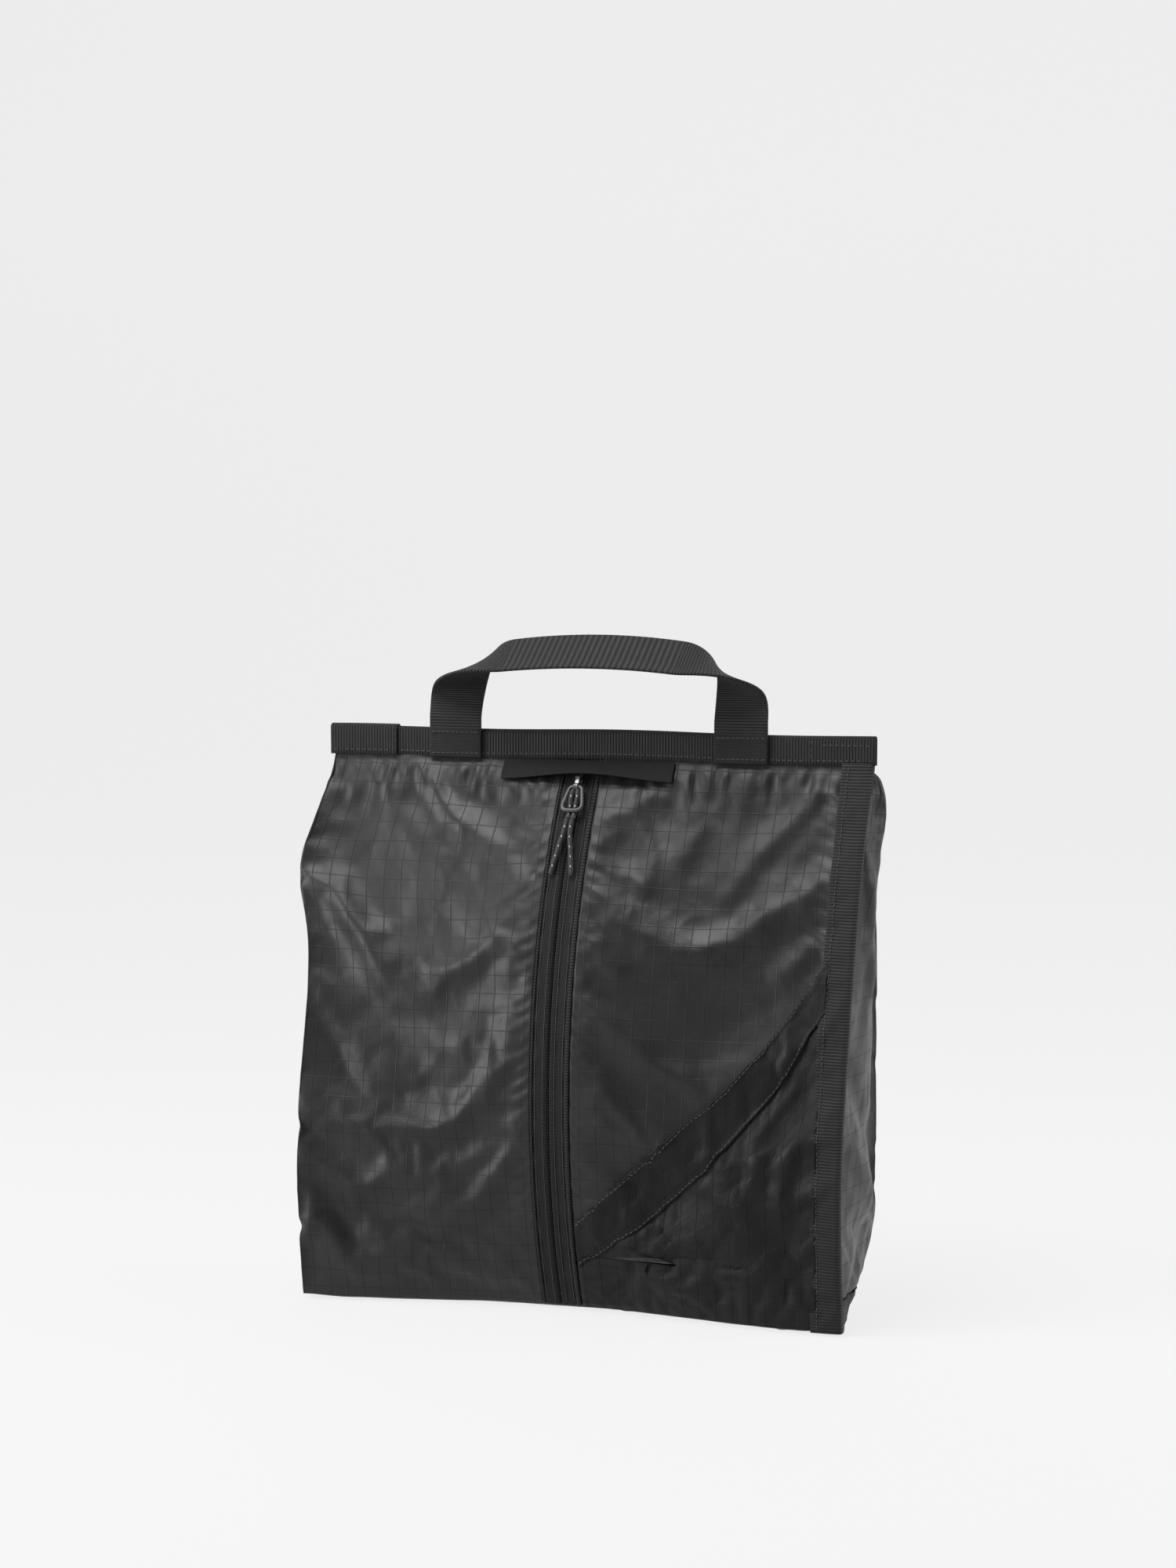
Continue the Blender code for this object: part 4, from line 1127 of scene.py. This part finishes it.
def addBindings():
    half = binding["thick"] / 2
    top = tapeFold("topBinding", -binding["half"], binding["half"], half, binding["top"], 150)
    settle(top, "bag", "grosgrain", "top_binding")
    over = tapeFold("bindingOverlap", -binding["half"] - 0.0002, binding["overlapRight"], half + 0.0010,
                    binding["top"] + 0.0011, 24)
    settle(over, "bag", "grosgrain", "binding_overlap")

    rows = []
    for side, offset in ((-1, half), (1, half)):
        line = []
        for index in range(61):
            x = mixed(binding["overlapRight"] + 0.001, binding["half"] - 0.001, index / 60)
            line.append(((x, binding["y"] + side * offset, binding["bottom"] + 0.0024 + bindingWave(x)), (0, side, 0)))
        rows.append(line)
        line = []
        for index in range(16):
            x = mixed(-binding["half"] + 0.001, binding["overlapRight"] - 0.001, index / 15)
            line.append(((x, binding["y"] + side * (offset + 0.0010), binding["bottom"] + 0.0024 + bindingWave(x)),
                         (0, side, 0)))
        rows.append(line)
    # bar tacks that end the tape
    for x, low, high, lift in ((-0.1150, 0.2945, 0.3060, 0.0010), (0.1180, 0.2945, 0.3060, 0.0)):
        rows.append([((x, binding["y"] - half - lift, z), (0, -1, 0)) for z in (low, (low + high) / 2, high)])
    x0, x1 = 0.1235, 0.1500
    rows.append([((mixed(x0, x1, i / 8), binding["y"] - half, 0.3030), (0, -1, 0)) for i in range(9)])
    stitchRow("bindingStitches", "bag", "grosgrain", rows)

    def edge(u, v):
        z = mixed(0.0014, 0.2940, v)
        along = u * (binding["edgeWidth"] + 0.0040)
        x = shape["halfWidth"] - binding["edgeWidth"] + along
        ripple = 0.00022 * math.sin(z * 240 + 1.0) * max(0.0, 1 - u * 3)
        if along <= binding["edgeWidth"]:
            spot, up = frontAt(min(x, 0.1498), z)
            puff = 0.0004 * math.sin(math.pi * min(1.0, u * 1.2))
            return Vector((x, spot.y - binding["edgeLift"] - ripple - puff, z if z > 0.004 else z))
        past = (along - binding["edgeWidth"]) / 0.0040
        spot, up = frontAt(0.1498, z)
        turn = past * math.pi / 2
        return Vector((0.1500 + 0.0018 * math.sin(turn), spot.y - binding["edgeLift"] + 0.0032 * (1 - math.cos(turn)), z))

    piece = gridPiece("rightEdgeBinding", 14, 120, edge, "tapeAlong", (0.019, 0.300))
    if piece.data.polygons[700].normal.y > 0:
        piece.data.flip_normals()
    thicken(piece, binding["tape"])
    settle(piece, "bag", "grosgrain", "right_edge_binding")
    line = []
    for index in range(121):
        z = mixed(0.0030, 0.2920, index / 120)
        spot, up = frontAt(0.1386, z)
        line.append(((0.1386, spot.y - binding["edgeLift"] - 0.0004, z), (0, -1, 0)))
    stitchRow("edgeStitches", "bag", "grosgrain", [line])

    def lowEdge(u, v):
        z = mixed(0.0012, mixed(0.019, 0.012, u), v)
        y = mixed(frontY(0.1498, z) + 0.0012, backY(0.1498, z) - 0.0012, u)
        puff = 0.0012 * math.sin(math.pi * u)
        spot, up = clothAt("rightSide", 1 - u, max(z, shape["low"]))
        x = max(edgeX(1, max(z, shape["low"]), u) + 0.0016 + puff, spot.x + 0.0011)
        return Vector((x + 0.0003 * math.sin(u * 21), y, z))

    piece = gridPiece("rightBaseBinding", 40, 8, lowEdge, "tapeAlong", (0.090, 0.016), turned=True)
    if piece.data.polygons[100].normal.x < 0:
        piece.data.flip_normals()
    thicken(piece, binding["tape"])
    settle(piece, "bag", "grosgrain", "right_base_binding")


addBindings()
print("bindings sewn on")

# ---- zip

zipPieces = {"inner": 0.00018, "piping": 0.0004, "sliderZ": 0.2835}


def zipPoint(x, z, lift):
    y, height = onZip(zipAngle(z), -lift)
    return Vector((x, y, height))


def addZip():
    inner = zipPieces["inner"]
    outer = zipArc["halfGap"] + zipArc["tape"]
    dots = []
    for label, side, width in (("Left", -1, zipArc["pipingLeft"]), ("Right", 1, zipArc["pipingRight"])):
        def tapePlace(u, v):
            z = mixed(shape["low"], 0.2960, v)
            across = mixed(inner, outer + 0.0003, u)
            lift = 0.00030 * math.exp(-(((u - 0.22) / 0.14) ** 2)) + 0.00018 * math.exp(-(((u - 0.74) / 0.16) ** 2))
            lift -= 0.0005 * max(0.0, 1 - u * 9)
            wave = 0.00018 * math.sin(z * 330 + side) * u
            return zipPoint(zipArc["x"] + side * across, min(z, shape["neck"]), lift + wave) + Vector(
                (0, 0, max(0.0, z - shape["neck"])))

        piece = gridPiece("zipTape" + label, 12, 110, tapePlace, "knit", (0.0081, 0.300))
        if piece.data.polygons[600].normal.y > 0:
            piece.data.flip_normals()
        thicken(piece, 0.0007)
        settle(piece, "bag", "zip_tape", "zip_tape_" + label.lower())

        def pipingPlace(u, v):
            z = mixed(shape["low"], 0.2960, v)
            across = outer + 0.0002 + u * (width + 0.0002)
            lift = zipPieces["piping"] + 0.0005 * math.sin(math.pi * u) + 0.0001 * math.sin(z * 500)
            return zipPoint(zipArc["x"] + side * across, min(z, shape["neck"]), lift) + Vector(
                (0, 0, max(0.0, z - shape["neck"])))

        piece = gridPiece("zipPiping" + label, 8, 110, pipingPlace, "tapeAlong", (width, 0.300))
        if piece.data.polygons[400].normal.y > 0:
            piece.data.flip_normals()
        thicken(piece, 0.0011)
        settle(piece, "bag", "grosgrain", "zip_piping_" + label.lower())
        for across in (inner + 0.0030, outer - 0.0010):
            line = []
            for index in range(81):
                z = mixed(0.0040, 0.2905, index / 80)
                spot = zipPoint(zipArc["x"] + side * across, z, 0.00022)
                axis = spot - Vector((spot.x, zipArc["centreY"], zipArc["centreZ"]))
                line.append((spot, axis.normalized()))
            dots.append(line)
    stitchRow("zipStitches", "bag", "zip_tape", dots, 0.0019, 0.85)


addZip()


def repaint(finish, *names):
    for name in names:
        for place in nodes[name].material_slots:
            place.material = finishes[finish]


repaint("coil", "zip_coil_left", "zip_coil_right")
repaint("metal", "zip_slider", "zip_pull_tab", "zip_bottom_stop", "zip_top_stop")
repaint("eyelet", "eyelet_inner", "eyelet_outer", "eyelet_washer_inner", "eyelet_washer_outer")
print("zip laid in")

# ---- handle

handle = {"width": 0.0294, "thick": 0.0016, "legX": 0.0800, "y": 0.0066, "low": 0.2922, "fold": 0.314, "apex": 0.3505,
          "tilt": 33.0, "turn": 0.0680, "delay": 1.45, "arch": 0.0085, "lean": 0.008}


def handleStations(steps):
    # the strap leans over and rolls a quarter turn in each corner, all along its middle line
    tilt = math.radians(handle["tilt"])
    c, sn = math.cos(tilt), math.sin(tilt)
    axis, angle = Matrix(((0, 0, 1), (c, -sn, 0), (sn, c, 0))).to_quaternion().to_axis_angle()

    def rolled(t):
        t = min(1.0, max(0.0, t))
        return Matrix.Rotation(angle * (t * t * (3 - 2 * t)) ** handle["delay"], 3, axis)

    step = handle["turn"] / steps
    corner = [Vector((0, 0, 0))]
    for index in range(steps):
        corner.append(corner[-1] + rolled((index + 0.5) / steps) @ Vector((0, 0, 1)) * step)
    rise = handle["apex"] - corner[-1].z
    foot = Vector((-handle["legX"], handle["y"], 0))
    across = Vector((1, 0, 0))
    stations = []
    for part in range(30):
        stations.append((foot + Vector((0, 0, mixed(handle["low"], rise, part / 30))), across))
    for index, offset in enumerate(corner):
        stations.append((foot + Vector((0, 0, rise)) + offset, rolled(index / steps) @ across))
    end, width = stations[-1]
    for part in range(1, 21):
        stations.append((Vector((mixed(end.x, 0, part / 20), end.y, end.z)), width))
    return stations


def addHandle():
    stations = handleStations(60)
    lengths = [0.0]
    for index in range(1, len(stations)):
        lengths.append(lengths[-1] + (stations[index][0] - stations[index - 1][0]).length)
    half = len(stations) - 1
    total = 2 * lengths[-1]

    def strap(u, v):
        index = round(v * 2 * half)
        centre, width = stations[min(index, 2 * half - index)]
        w = (u - 0.5) * handle["width"]
        spot = centre + width * w
        above = max(0.0, min(1.0, (spot.z - handle["fold"]) / 0.032))
        spot.z -= handle["arch"] * above**2 * (spot.x / handle["legX"]) ** 2
        spot.y += handle["lean"] * above
        if index > half:
            spot.x = -spot.x
        return spot

    piece = gridPiece("handleStrap", 14, 2 * half, strap, "tapeAlong", (handle["width"], total))
    thicken(piece, handle["thick"], 0.0)
    soften(piece, 0.0005, 2, 50)
    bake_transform(piece)
    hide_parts("handle_strap", "handle_end_left", "handle_end_right")
    bandBox = [min(v.co.y for v in piece.data.vertices), max(v.co.z for v in piece.data.vertices)]
    print("handle shaped: front at", round(bandBox[0], 4), "top at", round(bandBox[1], 4))

    rows = []
    front = handle["y"] - handle["thick"] / 2
    for side in (-1, 1):
        middle = side * handle["legX"]
        for z in (0.2945, 0.3058):
            rows.append([((middle + handle["width"] * (index / 10 - 0.5) * 0.92, front, z), (0, -1, 0))
                         for index in range(11)])
    stitchRow("handleStitches", "bag", "grosgrain", rows, 0.0027, 1.15)


addHandle()
print("handle sewn on")

# ---- label

label = {"left": -0.052, "right": 0.044, "length": 0.0125, "thick": 0.0009, "y": 0.0072, "top": 0.2919,
         "hang": (36, 62)}


def addLabel():
    def place(u, v):
        lift = math.sin(math.pi * u) ** 1.5
        hang = math.radians(mixed(label["hang"][0], label["hang"][1], lift))
        length = label["length"] * (1 - v)
        curl = 0.0004 * math.sin(math.pi * v) * (0.6 + 0.4 * math.sin(u * 9))
        return Vector((mixed(label["left"], label["right"], u), label["y"] - length * math.sin(hang) - curl,
                       label["top"] - length * math.cos(hang)))

    piece = gridPiece("foldedLabel", 64, 10, place, "label", (0.096, 0.0125))
    thicken(piece, label["thick"], 0.0)
    soften(piece, 0.00035, 3, 50)
    settle(piece, "label", "label_weave", "label")


addLabel()

# ---- pull: a moulded ring and a flecked cord

pull = {"tab": 0.0060, "pinLift": 0.0030, "pinDrop": 0.0022, "ringTop": 0.0066, "ringBottom": 0.0122,
        "ringLength": 0.0150, "rod": 0.0011, "tilt": 2.0, "cord": 0.00125}
cordRoutes = {
    "Left": [(-0.0014, 0.0277, 0.0040), (-0.0019, 0.0320, 0.0037), (-0.0028, 0.0370, 0.0031),
             (-0.0040, 0.0430, 0.0026), (-0.0053, 0.0500, 0.0023), (-0.0066, 0.0582, 0.0021)],
    "Right": [(0.0014, 0.0277, 0.0040), (0.0012, 0.0320, 0.0037), (0.0014, 0.0370, 0.0031),
              (0.0023, 0.0430, 0.0026), (0.0036, 0.0500, 0.0023), (0.0048, 0.0586, 0.0021)],
}


def tubePiece(name, path, radii, finish, sides=14, closed=False, squash=1.0):
    # a round tube along a path, with its weave map running along it
    count = len(path)
    tangents = []
    for index in range(count):
        before = path[(index - 1) % count] if closed else path[max(index - 1, 0)]
        after = path[(index + 1) % count] if closed else path[min(index + 1, count - 1)]
        tangents.append((after - before).normalized())
    side = tangents[0].orthogonal().normalized()
    sidesAt = []
    for tangent in tangents:
        side = (side - tangent * side.dot(tangent)).normalized()
        sidesAt.append(side)
    twist = 0.0
    if closed:
        end = (sidesAt[-1] - tangents[0] * sidesAt[-1].dot(tangents[0])).normalized()
        twist = math.atan2(end.cross(sidesAt[0]).dot(tangents[0]), end.dot(sidesAt[0]))
    length = sum((path[i + 1] - path[i]).length for i in range(count - 1))
    rows = count if closed else count - 1

    def place(u, v):
        index = round(v * rows)
        at = index % count
        turn = 2 * math.pi * u + twist * index / count
        across = sidesAt[at]
        lifted = tangents[at].cross(across)
        radius = radii[at] if isinstance(radii, list) else radii
        return path[at] + (across * math.cos(turn) + lifted * math.sin(turn) * squash) * radius

    piece = gridPiece(name, sides, rows, place, finish, (1.0, length))
    weld(piece)
    pick(piece)
    bpy.ops.object.mode_set(mode="EDIT")
    bpy.ops.mesh.select_all(action="SELECT")
    if not closed:
        bpy.ops.mesh.fill_holes(sides=sides)
    bpy.ops.mesh.select_all(action="SELECT")
    bpy.ops.mesh.normals_make_consistent(inside=False)
    bpy.ops.object.mode_set(mode="OBJECT")
    bpy.ops.object.shade_smooth_by_angle(angle=math.radians(60))
    return piece


def slerpPath(points, steps):
    # evenly spaced points on a smooth curve through the given ones
    points = [Vector(p) for p in points]
    fine = []
    for index in range(len(points) - 1):
        a, b = points[max(index - 1, 0)], points[index]
        c, d = points[index + 1], points[min(index + 2, len(points) - 1)]
        for part in range(8):
            t = part / 8
            fine.append(0.5 * ((2 * b) + (c - a) * t + (2 * a - 5 * b + 4 * c - d) * t * t
                               + (3 * b - a - 3 * c + d) * t**3))
    fine.append(points[-1])
    lengths = [0.0]
    for index in range(1, len(fine)):
        lengths.append(lengths[-1] + (fine[index] - fine[index - 1]).length)
    out = []
    at = 0
    for step in range(steps + 1):
        goal = lengths[-1] * step / steps
        while at < len(lengths) - 2 and lengths[at + 1] < goal:
            at += 1
        t = (goal - lengths[at]) / max(lengths[at + 1] - lengths[at], 1e-9)
        out.append(fine[at].lerp(fine[at + 1], min(t, 1.0)))
    return out, lengths[-1]


def pullFrame():
    # the frame of the ring: its origin at the tab's eye, Z up the slope of the zip
    angle = zipAngle(zipPieces["sliderZ"])
    turn = Matrix.Rotation(-angle, 4, "X")
    centre = Matrix.Translation((zipArc["x"], zipArc["centreY"], zipArc["centreZ"]))
    pin = centre @ turn @ Matrix.Translation((0, -zipArc["radius"] - pull["pinLift"], -pull["pinDrop"]))
    return pin @ Matrix.Translation((0, 0, -pull["tab"])) @ Matrix.Rotation(math.radians(-pull["tilt"]), 4, "X")


def addPull():
    ringFrame = pullFrame()
    top, bottom, length = pull["ringTop"] / 2, pull["ringBottom"] / 2, pull["ringLength"]
    rounds = (0.0022, 0.0022, 0.0046, 0.0046)
    corners = [(-top, 0), (top, 0), (bottom, -length), (-bottom, -length)]
    outline = []
    for index, (x, z) in enumerate(corners):
        here = Vector((x, 0, z))
        before = Vector((corners[index - 1][0], 0, corners[index - 1][1]))
        after = Vector((corners[(index + 1) % 4][0], 0, corners[(index + 1) % 4][1]))
        start = here + (before - here).normalized() * rounds[index]
        end = here + (after - here).normalized() * rounds[index]
        ahead = after + (here - after).normalized() * rounds[(index + 1) % 4]
        for part in range(7):
            t = part / 6
            outline.append(start * (1 - t) ** 2 + here * 2 * t * (1 - t) + end * t * t)
        for part in range(1, 6):
            outline.append(end.lerp(ahead, part / 6))
    path = [ringFrame @ spot for spot in outline]
    ring = tubePiece("pullRing", path, pull["rod"], "moulded", 16, True)
    settle(ring, "pull_ring", "moulded_pull", "zip_pull_ring")

    # the cord runs down inside the ring and out behind its lower bar
    parts = []
    for side, route in ((-1, cordRoutes["Left"]), (1, cordRoutes["Right"])):
        x, down, height = route[0]
        angle = zipAngle(zipPieces["sliderZ"]) - down / zipArc["radius"]
        end = Vector((zipArc["x"] + x, *onZip(angle, -height)))
        knots = [(side * 0.0011, 0.0000, -0.0016), (side * 0.0017, 0.0004, -0.0060), (side * 0.0015, 0.0014, -0.0110),
                 (side * 0.0014, 0.0024, -0.0150), (side * 0.0014, 0.0016, -0.0180)]
        strand = [ringFrame @ Vector(knot) for knot in knots] + [end]
        path, length = slerpPath(strand, 26)
        thick = [pull["cord"] * min(1.0, 0.7 + 0.1 * index) for index in range(27)]
        parts.append(tubePiece("strand", path, thick, "cord", 14))
    hitch = join("cordHitch", parts)
    settle(hitch, "pull_ring", "flecked_cord", "pull_cord_hitch")

    for label, route in cordRoutes.items():
        across = [(down, x) for x, down, height in route]
        above = [(down, height) for x, down, height in route]
        start, end = route[0][1], route[-1][1]
        line = []
        for step in range(25):
            down = mixed(start, end, step / 24)
            angle = zipAngle(zipPieces["sliderZ"]) - down / zipArc["radius"]
            line.append((zipArc["x"] + smooth(across, down), *onZip(angle, -smooth(above, down))))
        path, length = slerpPath(line, 36)
        radii = [pull["cord"]] * 37
        radii[-1] = pull["cord"] * 0.62
        radii[-2] = pull["cord"] * 0.96
        radii[0] = pull["cord"] * 0.7
        tail = tubePiece("cordTail" + label, path, radii, "cord", 14)
        settle(tail, "pull_ring", "flecked_cord", "pull_cord_" + label.lower())


addPull()
print("pull and cord hung")
